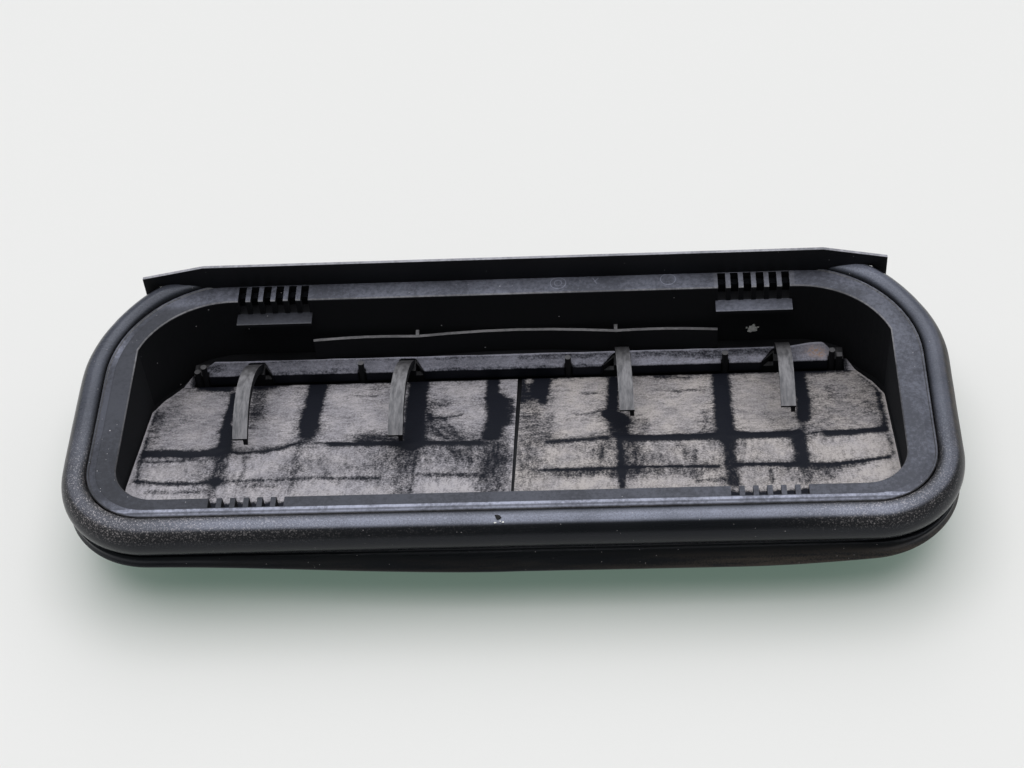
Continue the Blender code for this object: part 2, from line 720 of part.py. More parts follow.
def notch_outline(x, flare):
    """Notch beside a finger, open at the front and flared towards the middle of the grille."""
    inward = -1 if x > 0 else 1
    half = FINGER_WIDTH / 2 + NOTCH_MARGIN
    back = FINGER_LEG_Y + FINGER_THICKNESS / 2 + NOTCH_MARGIN
    front = STRIP_FRONT - CUT_OVERRUN
    return [
        (x - inward * half, front),
        (x + inward * (half + flare), front),
        (x + inward * (half + flare), STRIP_FRONT),
        (x + inward * half, back),
        (x - inward * half, back),
    ]


def ledge_notches():
    """Openings through the ledge's top in the flared part of each finger's notch."""
    bm = bmesh.new()
    for x, _, _, flare in fingers():
        inward = -1 if x > 0 else 1
        edge = x + inward * (FINGER_WIDTH / 2 + NOTCH_MARGIN)
        outline = [
            (edge, LEDGE_FRONT - CUT_OVERRUN),
            (edge + inward * flare, LEDGE_FRONT - CUT_OVERRUN),
            (edge + inward * flare * 0.8, LEDGE_FRONT),
            (edge, FINGER_LEG_Y),
        ]
        add_prism(bm, outline, LEDGE_Z - LEDGE_THICKNESS - CUT_OVERRUN / 2, LEDGE_Z + CUT_OVERRUN)
    return make_object("ledge_notches", bm)


def peg_places():
    """X, height over the ledge and whether round, for each peg."""
    end = LEDGE_HALF_LENGTH - END_PEG_INSET
    low = LEDGE_HALF_LENGTH - LOW_PEG_INSET
    right_outer = FLANGE_HALF_LENGTH - RIGHT_OUTER_FINGER_FROM_END
    middle_xs = (
        -LEFT_INNER_FINGER_X - PEG_FROM_LEFT_FINGER,
        RIGHT_INNER_FINGER_X - PEG_FROM_INNER_FINGER,
        right_outer - PEG_FROM_OUTER_FINGER,
    )
    places = [(x, PEG_HEIGHT, True) for x in middle_xs]
    places += [(-end, PEG_HEIGHT, True), (end, PEG_HEIGHT, True)]
    places += [(-low, LOW_PEG_HEIGHT, True), (low, LOW_PEG_HEIGHT, False)]
    return places


def pegs():
    bm = bmesh.new()
    foot = seat_z(LEDGE_FRONT) - SEAT_THICKNESS / 4
    for x, height, is_round in peg_places():
        steps = 12 if is_round else 4
        turn = 0 if is_round else 45
        radius = PEG_RADIUS if is_round else PEG_RADIUS * 1.3
        outline = arc((x, PEG_Y), radius, turn, turn + 360 - 360 / steps, steps - 1)
        add_prism(bm, outline, foot, LEDGE_Z + height)
    return make_object("pegs", bm)


def build_housing(material):
    housing = shell()
    combine(housing, deck(), "UNION")
    combine(housing, seat_windows(), "DIFFERENCE")
    combine(housing, ledge_notches(), "DIFFERENCE")
    for part in (bowed_plate, plate_webs, comb_shelves, blade):
        combine(housing, part(), "UNION")
    combine(housing, comb_slots(), "DIFFERENCE")
    for part in (seal_teeth, snap_lugs, stop_fingers, pegs):
        combine(housing, part(), "UNION")
    finish_mesh(housing, material)
    return housing


def seal_section():
    """Section of the seal: distance out from the flange's edge, height over its face, share of the sag."""
    start, end = 160, -72
    bead = []
    for i in range(BEAD_STEPS + 1):
        u, z = bead_point(start + (end - start) * i / BEAD_STEPS)
        bead.append((u, z, 0.0))
    crease_u, crease_z, _ = bead[-1]
    flare_u = crease_u + (LIP_REACH - crease_u) * 0.35
    flare_z = crease_z + (LIP_THICKNESS - LIP_DROP - crease_z) * 0.3
    lip = [
        (flare_u, flare_z, 0.3),
        (LIP_REACH - 0.3 * LIP_THICKNESS, LIP_THICKNESS - LIP_DROP, 1.0),
        (LIP_REACH, 0.4 * LIP_THICKNESS - LIP_DROP, 1.0),
        (LIP_REACH - 0.7 * LIP_THICKNESS, -LIP_DROP, 1.0),
        (crease_u, crease_z - 2.2 * LIP_THICKNESS, 0.4),
        (BEAD_CENTRE / 2, crease_z, 0.0),
        (CLEARANCE, -SLOT_DEPTH - TOOTH_HEIGHT, 0.0),
    ]
    foot_top = -FLANGE_THICKNESS - CLEARANCE
    foot_bottom = -SLOT_DEPTH + CLEARANCE
    foot = [
        (CLEARANCE, foot_bottom, 0.0),
        (-SEAL_FOOT_REACH, foot_bottom, 0.0),
        (-SEAL_FOOT_REACH, foot_top, 0.0),
        (CLEARANCE, foot_top, 0.0),
    ]
    return bead + lip + foot


def divided_outline(u):
    """Flange outline moved out by u, its long sides divided so that the lip can sag along them."""
    outline = flange_outline(u)
    half = len(outline) // 2
    near_x, near_y = outline[0]
    far_x, far_y = outline[half - 1]
    steps = [1 - 2 * i / SAG_STEPS for i in range(1, SAG_STEPS)]
    far_run = [(far_x * step, far_y) for step in steps]
    near_run = [(-near_x * step, near_y) for step in steps]
    return outline[:half] + far_run + outline[half:] + near_run


def sag_share(x, y):
    """Share of the full sag at a place on the flange's edge.

    The lip sags most in the middle of each long side. On the near side it stays low to the right,
    and fades out round the corner.
    """
    if x > 0 and y < 0:
        corner_x = FLANGE_HALF_LENGTH - FLANGE_NEAR_RADIUS
        corner_y = FLANGE_NEAR_RADIUS - FLANGE_HALF_WIDTH
        turn = math.atan2(max(0.0, x - corner_x), corner_y - y)
        lip_radius = FLANGE_NEAR_RADIUS + LIP_REACH
        passed = min(x, corner_x) + lip_radius * turn - (corner_x - SAG_FADE)
        fade = min(1.0, max(0.0, passed / (SAG_FADE + lip_radius * math.pi / 2)))
        return 1 - fade * fade * (3 - 2 * fade)
    along = min(1.0, abs(x) / (FLANGE_HALF_LENGTH - SAG_FROM_END))
    return math.cos(math.pi / 2 * along) ** 2


def seal_loop(u, z, share):
    """One loop round the seal at a point of its section."""
    loop = []
    for edge, start, end in zip(divided_outline(0.0), divided_outline(u), divided_outline(u + SAG_REACH)):
        sag = share * sag_share(*edge)
        x = start[0] + (end[0] - start[0]) * sag
        y = start[1] + (end[1] - start[1]) * sag
        loop.append((x, y, FLANGE_Z + z - sag * SAG_DROP))
    return loop


def build_seal(material):
    bm = bmesh.new()
    add_loft(bm, [seal_loop(u, z, share) for u, z, share in seal_section()], closed=True)
    seal = make_object("seal", bm)
    finish_mesh(seal, material)
    return seal


def finger_room():
    """Cutter for the strip's notches round the fingers."""
    bm = bmesh.new()
    for x, _, _, flare in fingers():
        add_prism(bm, notch_outline(x, flare), 0.0, FLANGE_Z)
    return make_object("finger_room", bm)


def peg_room():
    """Cutter for the strip's notches round the tall pegs."""
    room = PEG_RADIUS + CLEARANCE
    open_end = STRIP_FRONT - CUT_OVERRUN
    bm = bmesh.new()
    for x, height, _ in peg_places():
        if height < PEG_HEIGHT:
            continue
        outline = arc((x, PEG_Y), room, 0, 180, 8)
        outline += [(x - room, open_end), (x + room, open_end)]
        add_prism(bm, outline, 0.0, FLANGE_Z)
    return make_object("peg_room", bm)


def corner_room():
    """Cutter for the chamfers at the strip's two rear corners."""
    bm = bmesh.new()
    for side in (-1, 1):
        corner = side * STRIP_HALF_LENGTH
        outline = [
            (corner - side * STRIP_CHAMFER, STRIP_REAR + CUT_OVERRUN),
            (corner - side * STRIP_CHAMFER, STRIP_REAR),
            (corner, STRIP_REAR - STRIP_CHAMFER),
            (corner + side * CUT_OVERRUN, STRIP_REAR - STRIP_CHAMFER),
            (corner + side * CUT_OVERRUN, STRIP_REAR + CUT_OVERRUN),
        ]
        add_prism(bm, outline, 0.0, FLANGE_Z)
    return make_object("corner_room", bm)


def build_strip(material):
    """Clamped margin on the ledge with a skirt down its front, notched round fingers and pegs."""
    front, rear = STRIP_FRONT, STRIP_REAR
    top, under = STRIP_TOP, STRIP_TOP - STRIP_THICKNESS
    profile = [
        (front, top - STRIP_SKIRT),
        (front, top - STRIP_THICKNESS / 3),
        (front + STRIP_THICKNESS / 3, top),
        (rear, top),
        (rear, under),
        (front + STRIP_THICKNESS, under),
        (front + STRIP_THICKNESS, top - STRIP_SKIRT),
    ]
    bm = bmesh.new()
    add_bar(bm, profile, -STRIP_HALF_LENGTH, STRIP_HALF_LENGTH)
    strip = make_object("flap_strip", bm)

    for cutter in (finger_room(), peg_room(), corner_room()):
        combine(strip, cutter, "DIFFERENCE")
    finish_mesh(strip, material)
    return strip


def build_flap(name, side, material):
    """One flap as a thin sheet in its hinge's frame, turned down into its closed slope."""
    outer = [(side * x, y) for x, y in flap_right_edge()]
    split_end = FLAP_SPLIT_X + side * FLAP_SPLIT_END / 2
    split_top = FLAP_SPLIT_X + side * FLAP_SPLIT_TOP / 2
    outline = [(split_end, outer[0][1])] + outer + [(split_top, HINGE_Y)]
    stretch = 1 / math.cos(FLAP_SLOPE)
    local = [(x, (y - HINGE_Y) * stretch) for x, y in outline]
    half = FLAP_THICKNESS / 2
    bm = bmesh.new()
    add_prism(bm, local, -half, half)
    flap = make_object(name, bm)
    flap.location = (0.0, HINGE_Y, HINGE_Z)
    flap.rotation_euler = (-FLAP_SLOPE, 0.0, 0.0)
    finish_mesh(flap, material)
    return flap


def clear_scene():
    for thing in list(bpy.data.objects):
        bpy.data.objects.remove(thing)


def main():
    clear_scene()
    plastic = make_material("moulded_plastic", (0.028, 0.029, 0.034), 0.5)
    rubber = make_material("seal_rubber", (0.022, 0.023, 0.027), 0.62)
    membrane = make_material("flap_rubber", (0.20, 0.18, 0.17), 0.8)
    build_housing(plastic)
    build_seal(rubber)
    build_strip(membrane)
    build_flap("left_flap", -1, membrane)
    build_flap("right_flap", 1, membrane)


main()
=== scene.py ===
"""Dressed model of the cabin air extractor grille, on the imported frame.

Sizes and places are in millimetres: X to the right along the grille, Y towards the far side
with the upright blade, Z up. Blender gets them in metres through MM.
"""

import math

import bmesh
import bpy
import numpy as np
from mathutils import Matrix, Vector, noise


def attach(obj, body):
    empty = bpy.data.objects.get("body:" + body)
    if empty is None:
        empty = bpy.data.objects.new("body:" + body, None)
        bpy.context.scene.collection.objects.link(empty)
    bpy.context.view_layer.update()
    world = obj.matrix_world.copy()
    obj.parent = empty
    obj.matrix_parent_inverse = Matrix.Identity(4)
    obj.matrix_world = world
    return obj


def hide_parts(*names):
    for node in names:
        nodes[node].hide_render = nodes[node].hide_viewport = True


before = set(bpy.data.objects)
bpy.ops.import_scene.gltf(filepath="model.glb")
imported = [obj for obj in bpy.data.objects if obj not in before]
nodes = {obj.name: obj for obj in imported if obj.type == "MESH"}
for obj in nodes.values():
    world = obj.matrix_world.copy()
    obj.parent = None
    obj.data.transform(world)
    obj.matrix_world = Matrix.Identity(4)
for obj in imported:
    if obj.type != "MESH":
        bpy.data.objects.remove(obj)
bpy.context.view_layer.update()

MM = 0.001

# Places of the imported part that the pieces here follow, in millimetres
FLANGE_Z = 34.0
HALF_LENGTH = 128.0
HALF_WIDTH = 48.5
NEAR_RADIUS = 20.0
FAR_RADIUS = 39.4
HINGE_Y = 28.15
HINGE_Z = 5.05
SLOPE = math.radians(17.5)
# Flaps: thickness, split, outer side, free end, near corners, and where the outer side is cut in
SHEET = 0.9
SPLIT_X = 1.2
FLAP_SIDE = 118.0
FREE_END = -40.13
CORNER_RADIUS = 12.0
TAPER_Y = 13.55
TAPER_IN = 2.9
CUT_Y = 20.85
CUT_IN = 4.7
CUT_LENGTH = 7.3
# Seat's ribs under the flaps, and the deck beside the ledge where the corner tabs lie
CROSS_RIBS = (-90.0, -66.0, -28.0, 28.0, 66.0, 90.0)
LONG_RIBS = (-25.0, -8.0)
DECK_Z = 5.2
TAB_Y = 28.45
TAB_LENGTH = 5.0


# Node helpers

class Graph:
    """Short names for building one material's node tree."""

    def __init__(self, name):
        self.material = bpy.data.materials.new(name)
        self.material.use_nodes = True
        self.tree = self.material.node_tree
        self.shader = self.tree.nodes["Principled BSDF"]
        self.shader.inputs["Metallic"].default_value = 0.0
        coordinates = self.tree.nodes.new("ShaderNodeTexCoord")
        self.place = self.scale_vector(coordinates.outputs["Object"], 1000.0)
        split = self.tree.nodes.new("ShaderNodeSeparateXYZ")
        self.tree.links.new(self.place, split.inputs[0])
        self.x, self.y, self.z = split.outputs
        geometry = self.tree.nodes.new("ShaderNodeNewGeometry")
        normal = self.tree.nodes.new("ShaderNodeSeparateXYZ")
        self.tree.links.new(geometry.outputs["Normal"], normal.inputs[0])
        self.nz = normal.outputs["Z"]

    def link(self, value, socket):
        """Connect a socket, or set a plain number or colour."""
        if isinstance(value, bpy.types.NodeSocket):
            self.tree.links.new(value, socket)
        elif isinstance(value, (tuple, list)) and len(value) == 3 and socket.type == "RGBA":
            socket.default_value = (*value, 1.0)
        else:
            socket.default_value = value

    def scale_vector(self, vector, factor):
        node = self.tree.nodes.new("ShaderNodeVectorMath")
        node.operation = "SCALE"
        self.link(vector, node.inputs[0])
        node.inputs["Scale"].default_value = factor
        return node.outputs[0]

    def stretch(self, vector, factors):
        node = self.tree.nodes.new("ShaderNodeVectorMath")
        node.operation = "MULTIPLY"
        self.link(vector, node.inputs[0])
        node.inputs[1].default_value = factors
        return node.outputs[0]

    def math(self, operation, a, b=0.0):
        node = self.tree.nodes.new("ShaderNodeMath")
        node.operation = operation
        self.link(a, node.inputs[0])
        self.link(b, node.inputs[1])
        return node.outputs[0]

    def add(self, a, b):
        return self.math("ADD", a, b)

    def sub(self, a, b):
        return self.math("SUBTRACT", a, b)

    def mul(self, a, *others):
        result = a
        for other in others:
            result = self.math("MULTIPLY", result, other)
        return result

    def most(self, *values):
        result = values[0]
        for value in values[1:]:
            result = self.math("MAXIMUM", result, value)
        return result

    def ramp(self, value, low, high, out_low=0.0, out_high=1.0):
        """Smooth step from low to high."""
        node = self.tree.nodes.new("ShaderNodeMapRange")
        node.interpolation_type = "SMOOTHSTEP"
        self.link(value, node.inputs["Value"])
        node.inputs["From Min"].default_value = low
        node.inputs["From Max"].default_value = high
        node.inputs["To Min"].default_value = out_low
        node.inputs["To Max"].default_value = out_high
        return node.outputs["Result"]

    def noise(self, scale, detail, rough, vector=None):
        """Noise with scale in features per millimetre."""
        node = self.tree.nodes.new("ShaderNodeTexNoise")
        self.link(self.place if vector is None else vector, node.inputs["Vector"])
        node.inputs["Scale"].default_value = scale
        node.inputs["Detail"].default_value = detail
        node.inputs["Roughness"].default_value = rough
        return node.outputs["Fac"]

    def specks(self, scale, radius, share):
        """One on small grains: cells per millimetre, radius in cells, share of cells with one."""
        node = self.tree.nodes.new("ShaderNodeTexVoronoi")
        self.link(self.place, node.inputs["Vector"])
        node.inputs["Scale"].default_value = scale
        near = self.ramp(node.outputs["Distance"], radius * 0.6, radius, 1.0, 0.0)
        split = self.tree.nodes.new("ShaderNodeSeparateColor")
        self.tree.links.new(node.outputs["Color"], split.inputs[0])
        chosen = self.math("LESS_THAN", split.outputs[0], share)
        return self.mul(near, chosen)

    def mix(self, share, a, b):
        node = self.tree.nodes.new("ShaderNodeMix")
        node.data_type = "RGBA"
        self.link(share, node.inputs["Factor"])
        self.link(a, node.inputs[6])
        self.link(b, node.inputs[7])
        return node.outputs[2]

    def blend(self, share, a, b):
        node = self.tree.nodes.new("ShaderNodeMix")
        self.link(share, node.inputs["Factor"])
        self.link(a, node.inputs[2])
        self.link(b, node.inputs[3])
        return node.outputs[0]

    def band(self, value, centre, half, soft):
        """One near centre, falling to zero beyond half over soft."""
        away = self.math("ABSOLUTE", self.sub(value, centre))
        return self.ramp(away, half, half + soft, 1.0, 0.0)

    def between(self, value, low, high, soft):
        """One from low to high, falling to zero beyond them over soft."""
        return self.band(value, (low + high) / 2, (high - low) / 2, soft)

    def box(self, x0, x1, y0, y1, soft):
        """One inside a rectangle in X and Y, with soft sides."""
        return self.mul(self.between(self.x, x0, x1, soft), self.between(self.y, y0, y1, soft))

    def ring(self, x, y, radius, half, soft):
        """One on a thin circle seen from above."""
        dx = self.sub(self.x, x)
        dy = self.sub(self.y, y)
        away = self.math("SQRT", self.add(self.mul(dx, dx), self.mul(dy, dy)))
        return self.band(away, radius, half, soft)

    def value(self, name):
        """A number stored on the mesh's points."""
        node = self.tree.nodes.new("ShaderNodeAttribute")
        node.attribute_name = name
        return node.outputs["Fac"]

    def bump(self, height, distance, strength, below=None):
        node = self.tree.nodes.new("ShaderNodeBump")
        node.inputs["Strength"].default_value = strength
        node.inputs["Distance"].default_value = distance
        self.link(height, node.inputs["Height"])
        if below is not None:
            self.tree.links.new(below, node.inputs["Normal"])
        return node.outputs[0]


# Materials

def plastic_material():
    """Moulded black plastic with a painted bluish sheen, grey powder on its upper faces and painted
    highlights on some edges.
    """
    black = (0.0056, 0.0056, 0.0062)
    bluish = (0.76, 0.79, 1.0)
    dust_and_highlight_grey = (0.78, 0.76, 0.80)
    g = Graph("dusty_black_plastic_with_painted_sheen")
    shader = g.shader
    shader.inputs["Specular IOR Level"].default_value = 0.3
    shader.inputs["Specular Tint"].default_value = (0.84, 0.87, 1.0, 1.0)
    grain = g.noise(4.0, 2.0, 0.6)
    cloud = g.noise(0.045, 4.0, 0.55)
    fine = g.noise(0.9, 5.0, 0.65)
    smear = g.noise(0.22, 4.0, 0.6, g.stretch(g.place, (0.4, 1.0, 1.0)))
    up = g.ramp(g.nz, 0.45, 0.9)
    uneven = g.ramp(g.add(g.mul(cloud, 0.5), g.mul(fine, 0.5)), 0.32, 0.68)

    # Painted bluish sheen on the flange, stronger towards the right end, the far side and in the
    # rim's groove, where it is a painted highlight
    on_flange = g.ramp(g.z, 32.8, 33.3)
    rightward = g.ramp(g.x, -120.0, 110.0, 0.033, 0.074)
    rightward = g.add(rightward, g.ramp(g.x, 104.0, 118.0, 0.0, 0.032))
    farward = g.mul(g.ramp(g.y, 36.0, 40.0), g.ramp(g.x, 20.0, 100.0, 0.095, 0.055))
    flange = g.mul(on_flange, up, g.ramp(uneven, 0.0, 1.0, 0.5, 1.3))
    groove = g.mul(g.ramp(g.z, 33.93, 33.985, 1.0, 0.0), g.ramp(g.nz, 0.9, 0.97))
    # Painted highlights along the rim's groove: two bands on the near side, a rise towards the near
    # side, and the far-left corner
    nearward = g.most(
        g.mul(g.band(g.y, -45.95, 0.5, 0.35), 0.4),
        g.mul(g.band(g.y, -47.6, 0.3, 0.2), 0.24),
        g.ramp(g.y, -40.0, -44.0, 0.06, 0.15),
        g.mul(g.ramp(g.x, -118.0, -126.0), g.ramp(g.y, 8.0, 20.0), 0.2),
    )
    tint_and_painted_sheen = g.mul(flange, g.most(g.add(rightward, farward), g.mul(groove, nearward)))

    # Fingers: everything well above the flaps' plane and in front of the upright plate
    plane = g.add(g.mul(g.y, -math.tan(SLOPE)), HINGE_Z + math.tan(SLOPE) * HINGE_Y)
    over_flaps = g.ramp(g.sub(g.z, plane), 2.0, 2.6)
    in_front = g.mul(g.ramp(g.y, 35.0, 35.3, 1.0, 0.0), g.ramp(g.z, 30.0, 31.0, 1.0, 0.0))
    finger = g.mul(over_flaps, in_front, g.ramp(g.nz, 0.15, 0.6))
    # Dust on the fingers, with painted shade that dims it towards their roots
    painted_shade_to_root = g.ramp(g.y, 12.0, 31.0, 1.0, 0.25)
    streak = g.noise(0.9, 4.0, 0.65, g.stretch(g.place, (1.0, 0.2, 0.2)))
    finger_dust_and_shade = g.mul(finger, painted_shade_to_root, g.ramp(streak, 0.3, 0.7, 0.10, 0.26))

    # Shelves with a painted bluish sheen, the blade's top edge and the upright plate's top
    shelf = g.mul(up, g.between(g.y, 34.6, 39.8, 0.1), g.band(g.z, 28.0, 0.5, 0.2))
    # Painted bluish sheen on the shelves, stronger towards the right
    painted_shelf_sheen = g.mul(shelf, g.ramp(g.x, -20.0, 20.0, 0.035, 0.13))
    painted_shelf_sheen = g.mul(painted_shelf_sheen, g.ramp(uneven, 0.0, 1.0, 0.6, 1.3))
    bars = g.mul(g.box(65.0, 90.5, 39.0, 46.6, 0.3), on_flange, up)
    blade_top = g.mul(up, g.between(g.y, 46.3, 47.7, 0.1), g.ramp(g.z, 35.5, 36.5))
    plate_top = g.mul(up, g.box(-68, 68, 34.8, 40.2, 0.1), g.band(g.z, 18.4, 0.4, 0.2))
    # Dust with a painted highlight along the blade's top edge and the upright plate's top
    edge_dust_and_highlight = g.mul(g.most(blade_top, plate_top), g.ramp(uneven, 0.0, 1.0, 0.16, 0.34))
    peg_tops = g.mul(up, g.band(g.y, 29.9, 1.8, 0.2), g.ramp(g.z, 11.2, 11.4))
    peg_tops = g.mul(peg_tops, g.ramp(g.z, 14.5, 15.0, 1.0, 0.0))

    # Painted highlight on the slanted edge round the opening, stronger towards the far side
    slanted = g.mul(g.band(g.nz, 0.7, 0.15, 0.12), g.band(g.z, 33.85, 0.25, 0.1))
    painted_lip_highlight = g.mul(slanted, g.ramp(uneven, 0.0, 1.0, 0.05, 0.13), g.ramp(g.y, 0.0, 20.0, 1.0, 2.4))

    # Loose grains, thicker on the left end wall
    grains = g.mul(g.specks(0.16, 0.045, 0.5), 0.5)
    left_wall = g.mul(g.ramp(g.x, -121.5, -114.0, 1.0, 0.0), g.ramp(g.z, 8.0, 33.0))
    wall_grains = g.mul(g.specks(0.8, 0.11, 0.16), left_wall, 0.5)
    flange_grains = g.mul(g.specks(0.33, 0.06, 0.5), on_flange, 0.35)

    # Faint moulding marks on the far flange: a dial, a plain ring and a pointer of two strokes
    dial = g.most(
        g.ring(14.9, 43.8, 2.5, 0.08, 0.12),
        g.mul(g.ring(14.9, 43.8, 1.2, 0.1, 0.12), 0.7),
    )
    plain_ring = g.mul(g.ring(50.3, 44.1, 2.4, 0.09, 0.12), 0.9)
    long_stroke = g.band(g.add(g.x, g.mul(g.y, 0.5)), 48.9, 0.12, 0.12)
    short_stroke = g.band(g.sub(g.x, g.mul(g.y, 0.9)), -13.0, 0.1, 0.12)
    pointer = g.most(
        g.mul(long_stroke, g.band(g.y, 44.2, 1.1, 0.2)),
        g.mul(short_stroke, g.band(g.y, 44.7, 0.7, 0.2)),
    )
    marks = g.mul(g.most(dial, plain_ring, pointer), on_flange, up)

    # All of it together
    # Painted bluish sheen of the flange and shelves, with the faint tint of the moulding marks
    tint_and_painted_sheen = g.add(tint_and_painted_sheen, g.add(painted_shelf_sheen, g.mul(marks, 0.16)))
    # Dust, together with the painted highlights on the top edges and round the opening
    dust_and_painted_light = g.add(g.add(finger_dust_and_shade, edge_dust_and_highlight), painted_lip_highlight)
    dust_and_painted_light = g.add(dust_and_painted_light, g.mul(bars, 0.05))
    dust_and_painted_light = g.add(dust_and_painted_light, g.mul(peg_tops, 0.09))
    dust_and_painted_light = g.most(dust_and_painted_light, grains, wall_grains, flange_grains)
    base = g.mix(tint_and_painted_sheen, black, bluish)
    base = g.mix(dust_and_painted_light, base, dust_and_highlight_grey)
    g.link(base, shader.inputs["Base Color"])

    # Dull where dust or a painted highlight lies, in the near combs' slots and on the upright faces
    # inside
    rough = g.add(g.mul(smear, 0.16), 0.42)
    rough = g.blend(g.mul(dust_and_painted_light, 3.0, g.ramp(dust_and_painted_light, 0.0, 0.3)), rough, 0.9)
    under_face = g.ramp(g.z, 32.9, 33.4, 1.0, 0.0)
    deep = g.mul(g.between(g.y, -47.0, -40.5, 0.1), under_face)
    inside = g.mul(under_face, g.ramp(g.nz, 0.3, 0.6, 1.0, 0.0))
    inside = g.mul(inside, g.box(-122.0, 122.0, -42.0, 41.0, 0.3))
    g.link(g.blend(g.most(deep, inside), rough, 0.95), shader.inputs["Roughness"])
    low = g.bump(cloud, 0.0008, 0.12)
    fine_bump = g.bump(grain, 0.00006, 0.5, low)
    g.link(g.bump(marks, 0.00012, 0.8, fine_bump), shader.inputs["Normal"])
    return g.material


def seal_material():
    """Smooth black rubber, with grains on its crest, a painted bluish highlight along the crest and
    dirt on the lower lip.
    """
    black = (0.0055, 0.006, 0.0078)
    bluish = (0.74, 0.78, 1.0)
    powdery = (0.62, 0.57, 0.58)
    earthy = (0.15, 0.115, 0.085)
    g = Graph("satin_seal_rubber_with_painted_highlight")
    shader = g.shader
    shader.inputs["Specular IOR Level"].default_value = 0.27
    shader.inputs["Specular Tint"].default_value = (0.86, 0.9, 1.0, 1.0)
    cloud = g.noise(0.06, 4.0, 0.55)
    grain = g.noise(3.0, 3.0, 0.6)
    fine = g.noise(2.2, 3.0, 0.7)
    along = g.noise(0.5, 4.0, 0.6, g.stretch(g.place, (0.06, 1.0, 1.0)))
    powder = g.value("powder")
    dirt = g.value("dirt")
    granular = g.mul(powder, g.most(g.ramp(fine, 0.52, 0.66), g.specks(1.1, 0.3, 0.5)))
    # Faint tint where the powder lies
    tint_and_painted_sheen = g.mul(powder, 0.035)
    uneven = g.ramp(g.add(g.mul(cloud, 0.4), g.mul(fine, 0.6)), 0.3, 0.7, 0.12, 0.28)
    # Painted bluish highlight along the crest, stored on the mesh
    painted_crest_highlight = g.mul(g.value("tint_and_painted_sheen"), uneven)
    sparse = g.mul(g.most(g.specks(0.3, 0.055, 0.6), g.specks(0.62, 0.09, 0.25)), 0.5)
    brown = g.mul(dirt, g.ramp(g.add(g.mul(along, 0.6), g.mul(fine, 0.4)), 0.38, 0.62))
    base = g.mix(g.mul(g.ramp(cloud, 0.3, 0.8), 0.004), black, (0.6, 0.6, 0.6))
    base = g.mix(painted_crest_highlight, base, bluish)
    base = g.mix(g.most(g.mul(granular, 0.5), tint_and_painted_sheen, sparse), base, powdery)
    base = g.mix(g.mul(brown, 0.5), base, earthy)
    g.link(base, shader.inputs["Base Color"])
    rough = g.add(g.mul(along, 0.1), 0.22)
    soiled = g.math("MINIMUM", g.add(g.mul(powder, 0.5), g.mul(dirt, 0.8)), 1.0)
    rough = g.blend(soiled, rough, 0.62)
    g.link(rough, shader.inputs["Roughness"])
    g.link(g.bump(grain, 0.00005, 0.35), shader.inputs["Normal"])
    return g.material


def membrane_material():
    """Dark rubber sheet under grey powder, worn off where the seat's ribs press, with painted shade
    along its top edge and free end and painted highlights on its crease lines and outer edge.
    """
    bare_rubber_and_painted_shade = (0.0075, 0.0085, 0.0135)
    grey = (0.378, 0.352, 0.362)
    warm_grey = (0.402, 0.368, 0.358)
    cool_grey = (0.352, 0.352, 0.428)
    rusty = (0.33, 0.19, 0.10)
    g = Graph("dusty_membrane_with_painted_light")
    shader = g.shader
    shader.inputs["Specular IOR Level"].default_value = 0.1
    amount = g.value("dust_and_painted_light")
    light = g.value("light")
    brown = g.value("brown")
    cool = g.value("cool")
    across = g.noise(0.75, 4.0, 0.65, g.stretch(g.place, (0.42, 1.0, 1.0)))
    along = g.noise(0.75, 4.0, 0.65, g.stretch(g.place, (1.0, 0.32, 0.32)))
    threads = g.blend(g.ramp(g.y, -13.0, -5.0), along, across)
    fine = g.noise(1.5, 4.0, 0.7)
    grit = g.noise(3.2, 3.0, 0.6)
    mottle = g.noise(0.12, 5.0, 0.6)
    unsure = g.mul(g.mul(amount, g.sub(1.0, amount)), 4.0)
    torn = g.add(amount, g.mul(g.sub(fine, 0.5), 1.3, unsure))
    torn = g.add(torn, g.mul(g.sub(threads, 0.5), 0.9, g.add(g.mul(unsure, 0.65), 0.35)))
    cover = g.ramp(torn, 0.15, 0.93)
    shade = g.add(g.mul(g.sub(fine, 0.5), 1.5), g.mul(g.sub(threads, 0.5), 1.0))
    shade = g.add(shade, g.add(g.mul(g.sub(mottle, 0.5), 1.1), g.mul(g.sub(grit, 0.5), 1.0)))
    level = g.mul(light, g.add(shade, 1.0))
    pale = g.mix(g.ramp(mottle, 0.35, 0.65), grey, warm_grey)
    pale = g.mix(cool, pale, cool_grey)
    share = g.math("MAXIMUM", g.math("MINIMUM", g.mul(level, 0.76), 1.0), 0.0)
    scaled = g.mix(share, (0.0, 0.0, 0.0), pale)
    scaled = g.mix(g.mul(brown, g.ramp(fine, 0.35, 0.65)), scaled, rusty)
    # Bare rubber shows where the cover is thin: the worn marks, and the painted shade along the top
    # edge and free end
    base = g.mix(cover, bare_rubber_and_painted_shade, scaled)
    g.link(base, shader.inputs["Base Color"])
    g.link(g.blend(cover, 0.62, 0.95), shader.inputs["Roughness"])
    low = g.bump(threads, 0.0004, 0.35)
    g.link(g.bump(fine, 0.00012, 0.5, low), shader.inputs["Normal"])
    return g.material


def crumb_material(name, colour):
    """Dull mottled material of a loose crumb."""
    g = Graph(name)
    fine = g.noise(2.5, 4.0, 0.6)
    dim = tuple(0.75 * part for part in colour)
    g.link(g.mix(g.ramp(fine, 0.35, 0.7), dim, colour), g.shader.inputs["Base Color"])
    g.shader.inputs["Roughness"].default_value = 0.9
    g.link(g.bump(fine, 0.0003, 0.8), g.shader.inputs["Normal"])
    return g.material


